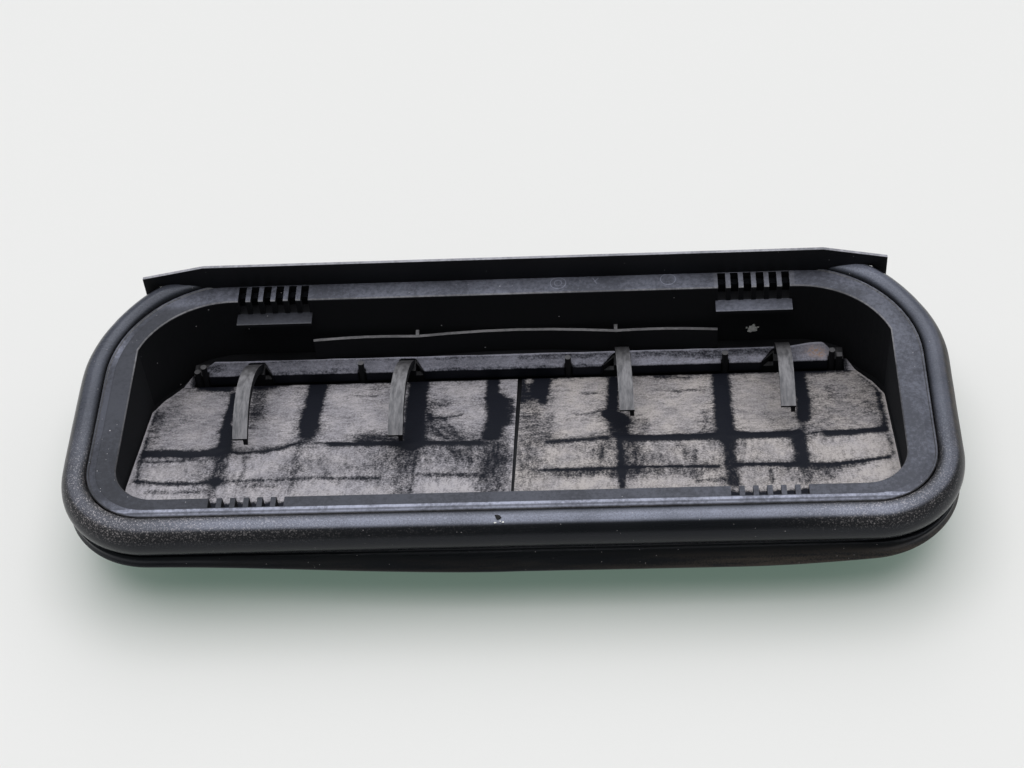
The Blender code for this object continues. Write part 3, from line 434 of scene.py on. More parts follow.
def floor_material():
    """Plain pale floor, whose faint own light keeps its shadows soft and greenish."""
    g = Graph("pale_floor")
    cloud = g.noise(0.004, 2.0, 0.5)
    grain = g.noise(0.5, 3.0, 0.6)
    pale = g.mix(cloud, (0.622, 0.575, 0.591), (0.634, 0.587, 0.603))
    g.link(pale, g.shader.inputs["Base Color"])
    g.shader.inputs["Roughness"].default_value = 0.8
    g.shader.inputs["Specular IOR Level"].default_value = 0.1
    g.shader.inputs["Emission Color"].default_value = (0.66, 1.0, 0.81, 1.0)
    g.shader.inputs["Emission Strength"].default_value = 0.14
    g.link(g.bump(grain, 0.0001, 0.2), g.shader.inputs["Normal"])
    return g.material


# Meshes

def link_object(name, data):
    thing = bpy.data.objects.new(name, data)
    bpy.context.scene.collection.objects.link(thing)
    return thing


def make_piece(name, points, faces, material):
    """Smooth-shaded piece from points in millimetres."""
    mesh = bpy.data.meshes.new(name)
    mesh.from_pydata([tuple(float(v) * MM for v in point) for point in points], [], faces)
    mesh.validate()
    bm = bmesh.new()
    bm.from_mesh(mesh)
    bmesh.ops.recalc_face_normals(bm, faces=bm.faces)
    bm.to_mesh(mesh)
    bm.free()
    mesh.materials.append(material)
    mesh.shade_smooth()
    mesh.set_sharp_from_angle(angle=math.radians(50))
    return link_object(name, mesh)


def store(piece, name, values):
    """Put a number on each point of a mesh, for its material."""
    attribute = piece.data.attributes.new(name, "FLOAT", "POINT")
    attribute.data.foreach_set("value", np.array(values, np.float32))


def store_dust(piece, dust_and_painted_light, light, brown, cool):
    """Store what the membrane's material reads: cover, lightness, brown and cool shares."""
    count = len(piece.data.vertices)
    for name, values in (("dust_and_painted_light", dust_and_painted_light), ("light", light), ("brown", brown), ("cool", cool)):
        store(piece, name, np.broadcast_to(values, count))


def sheet_faces(rows, columns):
    """Faces of a closed sheet: an upper grid of points, its copy below, and the rim between."""
    wide = columns + 1
    count = rows * wide
    faces = []
    for r in range(rows - 1):
        for c in range(columns):
            a = r * wide + c
            b, d, e = a + 1, a + wide, a + wide + 1
            faces.append((a, b, e, d))
            faces.append((count + a, count + d, count + e, count + b))
    rim = list(range(wide))
    rim += [r * wide + columns for r in range(1, rows)]
    rim += [(rows - 1) * wide + c for c in range(columns - 1, -1, -1)]
    rim += [r * wide for r in range(rows - 2, 0, -1)]
    faces += [(a, count + a, count + b, b) for a, b in zip(rim, rim[1:] + rim[:1])]
    return faces


def points_of(piece):
    """Points of a mesh in millimetres."""
    flat = np.zeros(len(piece.data.vertices) * 3, np.float32)
    piece.data.vertices.foreach_get("co", flat)
    return flat.reshape(-1, 3).astype(float) / MM


def lumps(points, scale, seed, depth=0):
    """Smooth noise at points, from about -1 to 1, with scale in millimetres."""
    shift = Vector((seed * 17.3, seed * 5.1, seed * 9.7))
    if depth:
        return np.array([noise.fractal(Vector(p) / scale + shift, 1.0, 2.0, depth) for p in points])
    return np.array([noise.noise(Vector(p) / scale + shift) for p in points])


def smooth(value, low, high):
    """Smooth step from zero at low to one at high, for a number or an array."""
    share = np.clip((value - low) / (high - low), 0.0, 1.0)
    return share * share * (3 - 2 * share)


def distance_to(x, y, line):
    """Distance in X and Y from points to a line of straight runs."""
    best = np.full(x.shape, 1e9)
    for (ax, ay), (bx, by) in zip(line, line[1:]):
        dx, dy = bx - ax, by - ay
        share = np.clip(((x - ax) * dx + (y - ay) * dy) / (dx * dx + dy * dy), 0.0, 1.0)
        away = np.hypot(x - ax - share * dx, y - ay - share * dy)
        best = np.minimum(best, away)
    return best


def after_strokes(x, y, strokes, seed):
    """Share of dust left after strokes, which have soft sides and a faint halo."""
    places = np.stack([x, y, np.zeros_like(x)], axis=1)
    wander_x = 0.28 * lumps(places, 1.8, seed, 2) + 0.45 * lumps(places, 8.0, seed + 2, 2)
    wander_y = 0.28 * lumps(places, 1.8, seed + 1, 2) + 0.35 * lumps(places, 8.0, seed + 3, 2)
    left = np.ones_like(x)
    for line, half, strength in strokes:
        away = distance_to(x + wander_x, y + wander_y, line)
        soft = 1.5 + 0.6 * half
        core = 1 - smooth(away, half - soft * 0.3, half + soft * 0.7)
        halo = 0.3 * np.exp(-(away / (half + 2.2)) ** 2)
        left *= 1 - strength * np.maximum(core, halo)
    return left


def patches(x, y, spots):
    """Sum of soft round spots: centre, radii and strength."""
    total = 0.0
    for cx, cy, rx, ry, strength in spots:
        total = total + strength * np.exp(-((x - cx) / rx) ** 2 - ((y - cy) / ry) ** 2)
    return total


# Flaps

# Where the dust is worn off, and painted shade along the top edge and free end: the points of each
# stroke, its half width and its strength
LEFT_STROKES = (
    (((-92.4, 23), (-92.6, 12), (-92.2, 4), (-91.2, -3), (-90.8, -9)), 1.2, 0.97),
    (((-91.2, 3), (-90.8, -9)), 1.8, 0.9),
    (((-90.8, -10), (-90.4, -27)), 2.0, 0.62),
    (((-90.4, -27), (-90.4, -34)), 1.5, 0.35),
    (((-65.2, 28), (-65.5, 15), (-65.5, 4)), 2.6, 0.98),
    (((-65.9, 5), (-65.3, -1)), 2.2, 0.8),
    (((-65.3, -1), (-65.6, -5)), 1.6, 0.5),
    (((-66.8, -7), (-66.8, -32)), 0.7, 0.35),
    (((-32.0, 29), (-31.9, 10), (-31.3, -4)), 2.8, 0.98),
    (((-31.2, -3), (-31.0, -9)), 2.2, 0.75),
    (((-33.2, -10), (-33.0, -34)), 2.4, 0.42),
    (((-29.7, -9), (-29.7, -34)), 0.35, 0.55),
    (((-7.4, 29), (-7.4, 17)), 1.6, 0.97),
    (((-6.2, 17), (-5.8, 6), (-6.6, -4)), 2.7, 0.9),
    (((-2.2, 15), (-2.4, 3)), 1.8, 0.75),
    (((-4.5, -6), (-5.0, -34)), 4.0, 0.38),
    (((-84.6, 25), (-83.6, 12)), 2.0, 0.42),
    (((-86.5, 27.5), (-80, 27.5)), 1.0, 0.6),
    (((-84.8, 12), (-84.0, 4)), 1.2, 0.3),
    (((-115.5, -10.2), (-108, -10.2), (-99, -10.7), (-93, -9.8)), 1.35, 0.97),
    (((-93, -9.6), (-86, -10.5), (-78, -10.2), (-72, -8.6), (-68.5, -6.3)), 0.45, 0.85),
    (((-78, -9), (-73, -7.6), (-70, -6.5)), 1.2, 0.35),
    (((-62, -6.2), (-55, -7)), 0.5, 0.7),
    (((-57, -7.0), (-50, -7.4), (-42, -7.8), (-35, -7.9)), 1.0, 0.9),
    (((-48, -3.8), (-42, -4.2), (-38, -6)), 2.3, 0.48),
    (((-36, -8), (-28, -7.8)), 1.2, 0.75),
    (((-28, -7.3), (-20, -8.2), (-10, -8.6)), 0.8, 0.85),
    (((-115, -14.4), (-103, -14)), 0.35, 0.65),
    (((-103, -12.5), (-97, -14.5), (-94, -13)), 0.6, 0.4),
    (((-116, -25), (-108, -26.6), (-98, -27), (-90, -26)), 0.6, 0.8),
    (((-90, -26), (-75, -25.9), (-60, -25.6), (-40, -26.6)), 0.4, 0.65),
    (((-28, -25), (-18, -25.8), (-8, -26.2)), 0.7, 0.65),
    (((-112, -30.6), (-102, -31), (-93, -30.7)), 0.4, 0.6),
    (((-82, -28.5), (-72, -29)), 0.5, 0.4),
    (((-116.6, 15), (-117.1, 2), (-116.2, -14), (-115.3, -26)), 0.4, 0.7),
    (((-114.5, 12), (-114.8, 2)), 0.9, 0.3),
    (((-27.2, 8.2), (-26.6, 5.6)), 0.55, 0.85),
    (((-26.6, 6.2), (-22, 6.8), (-17, 7.8)), 0.35, 0.75),
    (((-22, 5.5), (-19, 0), (-16.5, -6)), 0.35, 0.55),
    (((-25.5, 1), (-21, -5)), 0.35, 0.5),
    (((-24.5, 3.5), (-18, -3.5)), 0.3, 0.4),
    (((-27, 13.5), (-23, 15.5)), 1.1, 0.35),
    (((-19, -10), (-17, -16)), 0.5, 0.5),
    (((-14, -13), (-11.5, -19)), 0.3, 0.4),
    (((-60, -13), (-56, -26)), 0.35, 0.35),
    (((-83.5, -13), (-83, -24)), 0.35, 0.5),
    (((-53, 21.5), (-50, 20.5), (-42, 21)), 0.35, 0.4),
    (((-47, 24.5), (-43, 25.5)), 0.8, 0.4),
    (((-24, 14), (-20, 15.5)), 0.5, 0.25),
    # Painted shade: dark band along the free end, under the flange's overhang
    (((-118, -40.2), (0, -40.2)), 2.4, 0.97),
    # Painted shadow: ragged dark band along the top edge, below the ledge
    (((-110, 29), (-76, 28.6)), 0.8, 0.7),
    (((-60, 28.8), (-10, 28.8)), 0.7, 0.75),
    (((-104, 27.5), (-95, 26.5)), 1.2, 0.85),
)
RIGHT_STROKES = (
    (((8.5, 28.5), (8.0, 19)), 2.4, 0.97),
    (((8.8, 19), (9.4, 14)), 1.0, 0.8),
    (((4.6, 23), (4.8, 17)), 1.3, 0.6),
    (((2.4, 29), (2.2, 15)), 0.9, 0.8),
    (((12, 6), (11, -6)), 0.8, 0.35),
    (((31.8, 26), (31.6, 12), (31.2, 5)), 1.5, 0.95),
    (((30.8, 6), (34.5, 2.5)), 2.2, 0.9),
    (((33, 3), (33.4, -1), (33.8, -5)), 2.7, 0.78),
    (((33.9, -7), (34.1, -34)), 0.75, 0.8),
    (((37.0, -12), (37.2, -24)), 3.2, 0.42),
    (((28.0, -13), (28.3, -20)), 0.5, 0.5),
    (((66.6, 28.5), (66.6, 15), (66.5, 2), (66.8, -9)), 2.3, 0.98),
    (((67.4, -9), (67.6, -34)), 1.5, 0.75),
    (((91.6, 26), (92.2, 18), (91.8, 9), (91.3, 1)), 1.7, 0.97),
    (((91, 1), (91, -5)), 1.2, 0.35),
    (((88.9, -10), (89, -24)), 1.8, 0.88),
    (((89.5, -25), (90, -34)), 1.3, 0.4),
    (((37, -7.8), (45, -8.1), (63, -7.8)), 1.5, 0.97),
    (((70, -7.6), (80, -8.1), (89, -7.6)), 1.6, 0.97),
    (((90, -8.4), (97, -7)), 0.4, 0.65),
    (((98, -8), (105, -7.7), (115.5, -6.6)), 1.25, 0.96),
    (((11, -8.6), (18, -8.4), (29.5, -7.6)), 0.65, 0.82),
    (((20, 6.4), (25, 7.2), (31, 8)), 0.35, 0.5),
    (((51, 18.8), (56, 19.4), (61, 19.2)), 0.3, 0.65),
    (((22.5, 18.6), (26, 18.3)), 0.4, 0.5),
    (((10, -24.3), (20, -24.5), (35, -24.2)), 0.75, 0.85),
    (((35, -23.8), (48, -24), (63, -24.4)), 0.65, 0.85),
    (((69.5, -23.6), (78, -24), (87, -24.3)), 0.95, 0.92),
    (((92, -24.6), (99, -25)), 0.6, 0.75),
    (((99, -24.8), (106, -23.6), (115, -21.6)), 0.6, 0.93),
    (((92, -26), (103, -25.8), (108, -24.5)), 0.9, 0.5),
    (((15, -26.5), (33, -27)), 1.0, 0.5),
    (((36, -26.5), (60, -26.8)), 0.9, 0.38),
    (((36, -28.5), (58, -28.8)), 0.5, 0.35),
    (((57, -31.2), (66, -31.6)), 0.45, 0.6),
    (((60, 8), (61, 0), (59.5, -4)), 0.35, 0.4),
    (((79, 5), (82, 0)), 0.3, 0.4),
    (((57, -15), (56, -21)), 0.5, 0.45),
    (((52, -12), (54, -16)), 0.7, 0.35),
    (((42, 3), (41.5, -4)), 0.8, 0.35),
    (((101.5, 18), (102, 13)), 1.4, 0.3),
    (((96, -29), (97, -31)), 1.0, 0.5),
    (((79, -27), (79.2, -33)), 0.3, 0.6),
    (((112.5, 25), (115.4, 20.5)), 0.8, 0.85),
    (((115.7, 20), (116.3, 8), (116.0, -5)), 0.6, 0.8),
    (((115.8, -8), (117, -20)), 0.35, 0.55),
    # Painted shade: dark band along the free end, under the flange's overhang
    (((1, -40.2), (118, -40.2)), 2.4, 0.97),
    # Painted shadow: ragged dark band along the top edge, below the ledge
    (((12, 28.8), (62, 28.7)), 0.7, 0.7),
    (((46, 27), (56, 26.6)), 0.7, 0.6),
    (((70, 28.7), (100, 28.4)), 0.8, 0.7),
    (((90, 27.6), (108, 28)), 0.9, 0.7),
)
# Soft round spots of lighter or darker dust, and of thin dust: centre, radii and strength
LEFT_LIGHT = (
    (-104, 8, 13, 17, -0.20),
    (-78, 8, 9, 14, -0.06),
    (-18, 4, 13, 15, -0.08),
    (-104, -17, 12, 7, -0.15),
    (-60, -17, 22, 7, -0.10),
    (-52, -31, 14, 3.5, 0.12),
    (-16, -31, 14, 3.5, 0.20),
    (-112, -32, 9, 4, 0.18),
    (-78, -17, 5, 6, 0.12),
)
LEFT_THIN = (
    (-112, 10, 7, 16, 0.22),
    (-84, 16, 5, 12, 0.25),
    (-30, 12, 7, 14, 0.22),
    (-20, -2, 12, 8, 0.30),
    (-44, -3, 9, 5, 0.30),
    (-41, -18, 10, 8, 0.42),
    (-18, -15, 13, 8, 0.36),
    (-5, -20, 6, 15, 0.40),
    (-66, -20, 6, 12, 0.25),
    (-96, -18, 6, 8, 0.25),
    (-68, 10, 6, 16, 0.18),
)
RIGHT_LIGHT = (
    (103, 8, 13, 16, -0.20),
    (77, 8, 9, 14, -0.10),
    (20, 10, 12, 12, 0.18),
    (48, 10, 12, 12, 0.06),
    (104, -15, 10, 6, 0.20),
    (60, -16, 5, 5, 0.12),
    (108, -29, 10, 5, 0.22),
    (22, -31, 12, 3.5, 0.18),
    (50, -31, 12, 3.5, 0.12),
)
RIGHT_THIN = (
    (5, 4, 6, 15, 0.42),
    (6, -18, 6, 14, 0.34),
    (28, -16, 8, 8, 0.28),
    (44, -18, 10, 7, 0.22),
    (36, 4, 6, 8, 0.28),
    (66, -16, 6, 14, 0.28),
    (62, 0, 5, 10, 0.18),
    (95, 4, 8, 14, 0.20),
    (112, 10, 6, 14, 0.30),
    (101, 15, 5, 5, 0.15),
    (20, -8, 12, 4, 0.18),
    (92, -28, 10, 6, 0.22),
    (90, 18, 5, 8, 0.15),
)

# Painted highlights along the crease lines
LEFT_CREASE_HIGHLIGHTS = (
    ((-93, -11.6), (-86, -12.2), (-78, -11.9), (-72, -10.3), (-66, -8.0)),
    ((-62, -4.6), (-54, -5.2)),
    ((-113, -16.0), (-104, -15.6)),
    ((-112, -28.4), (-100, -28.8), (-92, -28.4)),
    ((-58, -24.2), (-42, -24.8)),
    ((-28, -10.4), (-14, -10.6)),
    ((-117.2, -4), (-116.4, -20)),
)
RIGHT_CREASE_HIGHLIGHTS = (
    ((38, -10.6), (62, -10.4)),
    ((70, -10.6), (88, -10.2)),
    ((99, -10.4), (114, -9.2)),
    ((100, -27.2), (113, -24.6)),
    ((12, -10.6), (28, -9.8)),
    ((117.4, -4), (117.2, -22)),
)


def flap_edges(side, y):
    """X of a flap's split edge and outer edge at a place along its slope."""
    along = (y - FREE_END) / (HINGE_Y - FREE_END)
    split = SPLIT_X + side * (0.4 + 0.35 * along)
    into = max(0.0, FREE_END + CORNER_RADIUS - y)
    outer = FLAP_SIDE - CORNER_RADIUS + math.sqrt(max(0.0, CORNER_RADIUS ** 2 - into ** 2))
    if y > TAPER_Y:
        outer = FLAP_SIDE - TAPER_IN * min(1.0, (y - TAPER_Y) / CUT_LENGTH)
    if y > CUT_Y:
        outer -= CUT_IN * (y - CUT_Y) / CUT_LENGTH
    return split, side * outer


def drape(x, y, seed):
    """How far the sheet stands over its flat form: down in the windows and up over the ribs."""
    ridges = np.zeros_like(x)
    for rib in CROSS_RIBS:
        ridges = np.maximum(ridges, np.exp(-((x - rib) / 2.6) ** 2))
    for rib in LONG_RIBS:
        ridges = np.maximum(ridges, np.exp(-((y - rib) / 2.2) ** 2))
    ridges = np.maximum(ridges, 0.8 * np.exp(-((x - SPLIT_X) / 6.0) ** 2))
    ridges = np.maximum(ridges, smooth(np.abs(x), 110.0, 116.0))
    ridges = np.maximum(ridges, smooth(y, 18.0, 27.0))
    places = np.stack([x, y, np.zeros_like(x)], axis=1)
    ripple = 0.16 * lumps(places * np.array([1.0, 0.6, 1.0]), 9.0, seed, 3)
    crease = 0.07 * lumps(places, 3.0, seed + 4, 2)
    rise = -0.42 + 0.52 * ridges + ripple * (1 - 0.7 * ridges) + crease
    free_end_wave = 0.22 * np.exp(-((y - FREE_END) / 4.0) ** 2) * np.sin(x / 7.5 + seed)
    return rise + free_end_wave


def make_flap(node, side, body, wear, material, seed):
    """Thin draped sheet that lies on the seat grid, with a grid fine enough for its dust."""
    strokes, lights, thins, crease_highlights = wear
    turn_steps, straight_rows, columns = 18, 92, 190
    turns = [math.pi / 2 * i / turn_steps for i in range(turn_steps)]
    rows = [FREE_END + CORNER_RADIUS * (1 - math.cos(turn)) for turn in turns]
    rows += list(np.linspace(FREE_END + CORNER_RADIUS, HINGE_Y - 0.05, straight_rows))
    flat = []
    for y in rows:
        split, outer = flap_edges(side, y)
        flat += [(split + (outer - split) * i / columns, y) for i in range(columns + 1)]
    flat = np.array(flat)
    x, y = flat[:, 0], flat[:, 1]
    middle = HINGE_Z + np.tan(SLOPE) * (HINGE_Y - y) + drape(x, y, seed)
    half = SHEET / 2 / math.cos(SLOPE)
    top = np.stack([x, y, middle + half], axis=1)
    under = np.stack([x, y, middle - half], axis=1)
    faces = sheet_faces(len(rows), columns)
    piece = make_piece(f"{node}_sheet", np.concatenate([top, under]), faces, material)

    places = np.stack([x, y, np.zeros_like(x)], axis=1)
    thin = 0.13 * lumps(places, 11.0, seed + 9, 3) + 0.09 * lumps(places, 3.2, seed + 11, 2)
    thin = thin - patches(x, y, thins)
    outer = np.array([flap_edges(side, v)[1] for v in y])
    # Painted highlight along the outer edge: full cover and lighter
    margin = np.exp(-((x - outer) / 0.9) ** 2) * (y > FREE_END + 4)
    left = after_strokes(x, y, strokes, seed) * np.clip(0.9 + thin, 0.3, 1.0)
    dust_and_painted_light = np.maximum(np.clip(left, 0.0, 1.0), margin)
    light = 1.0 + patches(x, y, lights) + 0.3 * margin
    wander = 0.4 * lumps(places, 4.0, seed + 6, 2)
    # Painted highlights along the crease lines
    for line in crease_highlights:
        light += 0.3 * np.exp(-(distance_to(x, y + wander, line) / 0.7) ** 2)
    dust_and_painted_light = np.concatenate([dust_and_painted_light, np.full(len(x), 0.15)])
    light = np.concatenate([light, np.full(len(x), 0.4)])
    store_dust(piece, dust_and_painted_light, light, 0.0, 0.36 if side < 0 else 0.06)
    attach(piece, body)
    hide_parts(node)


# Strip

STRIP_STROKES = (
    (((-103, 31), (-98, 33)), 1.6, 0.5),
    (((-80, 34.9), (-40, 34.8)), 0.5, 0.5),
    (((2, 33.6), (30, 33.4)), 1.0, 0.45),
    (((40, 33.6), (60, 33.2), (84, 33.6)), 1.2, 0.5),
    (((60, 31.5), (70, 31.8)), 0.5, 0.4),
    (((-26, 34), (-4, 34.4)), 0.6, 0.35),
    (((-60, 30), (-52, 30.4)), 0.8, 0.3),
    (((-92, 29.3), (-60, 29.2)), 0.4, 0.5),
    (((-28, 29.2), (28, 29.2)), 0.4, 0.5),
)


def make_strip(material):
    """Clamped margin of the membrane: its solid, remeshed, with soft waves and a lifted end."""
    voxel = 0.33
    wave_height, end_lift, sway_width = 0.45, 1.7, 0.12
    end_start, end_full = 87.0, 98.0
    piece = link_object("flap_strip_sheet", nodes["flap_strip"].data.copy())
    remesh = piece.modifiers.new("remesh", "REMESH")
    remesh.mode = "VOXEL"
    remesh.voxel_size = voxel * MM
    bpy.context.view_layer.update()
    evaluated = piece.evaluated_get(bpy.context.evaluated_depsgraph_get())
    mesh = bpy.data.meshes.new_from_object(evaluated)
    piece.modifiers.clear()
    piece.data = mesh

    places = points_of(piece)
    x, y, z = places[:, 0].copy(), places[:, 1], places[:, 2].copy()
    flat = np.stack([x, np.full_like(x, 31.0), np.zeros_like(x)], axis=1)
    wave = 0.5 + 0.5 * lumps(flat, 14.0, 3)
    back = smooth(y, 30.0, 34.5)
    at_end = smooth(x, end_start, end_full) * smooth(y, 30.5, 34.8)
    lift = wave_height * wave * back + end_lift * at_end
    sway = sway_width * lumps(flat, 9.0, 7)
    places[:, 1] = y + sway * smooth(z, 6.5, 9.0) * smooth(y, 31.0, 34.0)
    places[:, 2] = z + lift * smooth(z, 8.6, 9.4)
    piece.data.vertices.foreach_set("co", (places * MM).astype(np.float32).ravel())
    piece.data.materials.clear()
    piece.data.materials.append(material)
    piece.data.shade_smooth()

    # Dust on the upper face only, and a painted highlight along the rear edge
    top = smooth(z, 9.5, 9.95)
    edge = smooth(y, 34.2, 34.7)
    dust_and_painted_light = np.maximum(after_strokes(x, y, STRIP_STROKES, 11), edge) * top
    light = 0.60 + 0.05 * smooth(x, -40.0, 40.0)
    light = light + 0.18 * smooth(x, 35.0, 45.0) * (1 - smooth(y, 30.8, 32.4))
    light = light + 0.65 * edge
    brown = patches(x, y, ((97.5, 32.0, 3.0, 1.6, 0.9), (99.5, 30.5, 1.5, 1.0, 0.6)))
    light = light + 0.5 * brown
    store_dust(piece, dust_and_painted_light, light, np.clip(brown, 0.0, 0.85), 0.95)
    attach(piece, "frame")
    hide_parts("flap_strip")


def make_corner_tabs(material):
    """The sheet's two outer corners, which lie on the deck beside the ledge's ends."""
    steps, columns = 14, 6
    for side, name in ((-1, "left_corner_tab"), (1, "right_corner_tab")):
        points = []
        for layer in (0, 1):
            for i in range(steps + 1):
                share = i / steps
                y = TAB_Y + TAB_LENGTH * share
                inner = 106.9 + 0.1 * share
                outer = max(110.5 - 2.6 * share, 107.15)
                for c in range(columns + 1):
                    x = side * (inner + (outer - inner) * c / columns)
                    rise = 0.25 * math.sin(c / columns * math.pi) + 0.5 * (y - TAB_Y) / TAB_LENGTH
                    points.append((x, y, DECK_Z - SHEET * layer + rise * 0.6))
        piece = make_piece(name, points, sheet_faces(steps + 1, columns), material)
        outward = smooth(np.abs(points_of(piece)[:, 0]), 107.4, 109.0)
        store_dust(piece, 0.35 + 0.65 * outward, 0.75 + 0.4 * outward, 0.0, 0.5)
        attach(piece, "frame")


# Seal

def stations():
    """Places round the flange's edge with their outward directions, from the near right corner."""
    near, far = NEAR_RADIUS, FAR_RADIUS
    result = []

    def bend(cx, cy, radius, start, steps):
        for i in range(steps):
            angle = math.radians(start + 90.0 * i / steps)
            out = (math.cos(angle), math.sin(angle))
            result.append((cx + radius * out[0], cy + radius * out[1], out[0], out[1]))

    def run(x0, y0, x1, y1, out, step):
        steps = max(1, round(math.hypot(x1 - x0, y1 - y0) / step))
        for i in range(steps):
            share = i / steps
            result.append((x0 + (x1 - x0) * share, y0 + (y1 - y0) * share, *out))

    right = HALF_LENGTH
    top = HALF_WIDTH
    bend(right - near, near - top, near, -90.0, 26)
    run(right, near - top, right, top - far, (1.0, 0.0), 1.8)
    bend(right - far, top - far, far, 0.0, 42)
    run(right - far, top, far - right, top, (0.0, 1.0), 2.0)
    bend(far - right, top - far, far, 90.0, 42)
    run(-right, top - far, -right, near - top, (-1.0, 0.0), 1.8)
    bend(near - right, near - top, near, 180.0, 26)
    run(near - right, -top, right - near, -top, (0.0, -1.0), 2.0)
    return result


def sag_share(x, y):
    """Share of the lip's full sag at a place on the flange's edge."""
    if x > 0 and y < 0:
        corner_x = HALF_LENGTH - NEAR_RADIUS
        corner_y = NEAR_RADIUS - HALF_WIDTH
        turn = math.atan2(max(0.0, x - corner_x), corner_y - y)
        lip_radius = NEAR_RADIUS + 7.7
        passed = min(x, corner_x) + lip_radius * turn - (corner_x - 38.0)
        fade = min(1.0, max(0.0, passed / (38.0 + lip_radius * math.pi / 2)))
        return 1 - fade * fade * (3 - 2 * fade)
    along = min(1.0, abs(x) / (HALF_LENGTH - 10.0))
    return math.cos(math.pi / 2 * along) ** 2


# Gentle inner slope of the bead, from its foot to its crest: out from the edge, up from the face
SLOPE_OUT = (0.12, 0.2, 0.36, 0.6, 1.0, 1.6, 2.4, 3.3)
SLOPE_UP = (-0.96, -0.5, -0.12, 0.18, 0.5, 0.82, 1.08, 1.2)
# Arcs from the bead's crest to the crease: centre, radius, first and last angle and steps
BEAD_ARCS = (
    (3.3, -3.4, 4.6, 0.0, 39.0, 9),
    (1.987, -4.979, 6.66, 39.0, 146.0, 30),
)
CREST_OUT = 3.3


def bead_outline(grow, reach, gentle):
    """Seal's bead from its inner foot over the crest to the crease.

    It grows by grow, reaches out by the share reach, and has a gentle inner slope by the share
    gentle, where it is steep and squarish otherwise.
    """
    result = []
    steps = 18
    last = len(SLOPE_OUT) - 1
    for i in range(steps):
        angle = math.radians(160.0 - 68.4 * i / steps)
        across = -abs(math.cos(angle)) ** 0.4
        u = 4.25 + (3.95 + grow) * across
        z = (6.2 + grow) * math.sin(angle) ** 0.4 - 5.0
        along = i / steps * last
        soft_u = float(np.interp(along, range(last + 1), SLOPE_OUT))
        soft_z = float(np.interp(along, range(last + 1), SLOPE_UP)) + grow * along / last
        result.append((u + (soft_u - u) * gentle, z + (soft_z - z) * gentle))
    for cu, cz, radius, start, stop, arc_steps in BEAD_ARCS:
        for i in range(arc_steps):
            angle = math.radians(start + (stop - start) * i / arc_steps)
            u = CREST_OUT + (cu + (radius + grow) * math.sin(angle) - CREST_OUT) * reach
            result.append((u, cz + (radius + grow) * math.cos(angle)))
    return result


def rounded(points, steps):
    """Smooth curve through points, each with any count of values."""
    points = [np.array(p, float) for p in points]
    result = []
    for i in range(len(points) - 1):
        before = points[max(i - 1, 0)]
        a, b = points[i], points[i + 1]
        after = points[min(i + 2, len(points) - 1)]
        for k in range(steps):
            t = k / steps
            result.append(0.5 * (
                2 * a + (b - before) * t + (2 * before - 5 * a + 4 * b - after) * t * t
                + (3 * a - before - 3 * b + after) * t ** 3
            ))
    result.append(points[-1])
    return result


def seal_section(gap, grow, reach, gentle):
    """Section of the seal where its lip stands off the bead by gap: out, up and share of the sag."""
    bead = [(u, z, 0.0) for u, z in bead_outline(grow, reach, gentle)]
    crease_u, crease_z = 5.8, -10.96
    lip = rounded([
        (crease_u, crease_z, 0.0),
        (crease_u - 0.35 - 1.5 * gap, crease_z - 0.45, 0.1),
        (crease_u + 0.35 - 0.5 * gap, crease_z - 0.75 + 0.1 * gap, 0.25),
        (crease_u + 0.9 + 0.5 * gap, crease_z - 1.45 + 0.5 * gap, 0.5),
        (7.05, -13.2 + 0.3 * gap, 0.85),
        (7.5, -14.0, 1.0),
        (7.66, -14.5, 1.0),
        (7.4, -14.9, 1.0),
        (6.8, -14.95, 1.0),
        (6.2, -14.5, 0.8),
        (5.5, -13.4, 0.4),
        (4.2, -12.0, 0.1),
        (2.1, -10.96, 0.0),
        (0.9, -9.9, 0.0),
        (0.3, -8.6, 0.0),
    ], 4)
    inner = [(0.3, -6.25, 0.0), (-4.8, -6.25, 0.0), (-4.8, -2.8, 0.0), (0.3, -2.8, 0.0)]
    return bead + [tuple(p) for p in lip] + inner


BLADE_END = 111.5
SAG_OUT = 2.4
SAG_DOWN = 2.8
# Soft spots on the seal: gaps between lip and bead, its swell at the left, and powder
LIP_GAPS = ((121.0, -41.0, 11.0, 10.0, 1.0), (-123.0, -40.0, 7.0, 9.0, 0.55))
SWELLS = ((-128.0, -12.0, 6.0, 22.0, 0.35),)
POWDER = (
    (-120, -48, 14, 12, 1.0),
    (-95, -52, 16, 5, 0.75),
    (-70, -52, 18, 5, 0.5),
    (-30, -52, 30, 5, 0.16),
    (98, -52, 14, 5, 0.45),
    (114, -48, 13, 10, 0.75),
    (128, -34, 8, 14, 0.35),
    (-131, -30, 6, 16, 0.5),
)


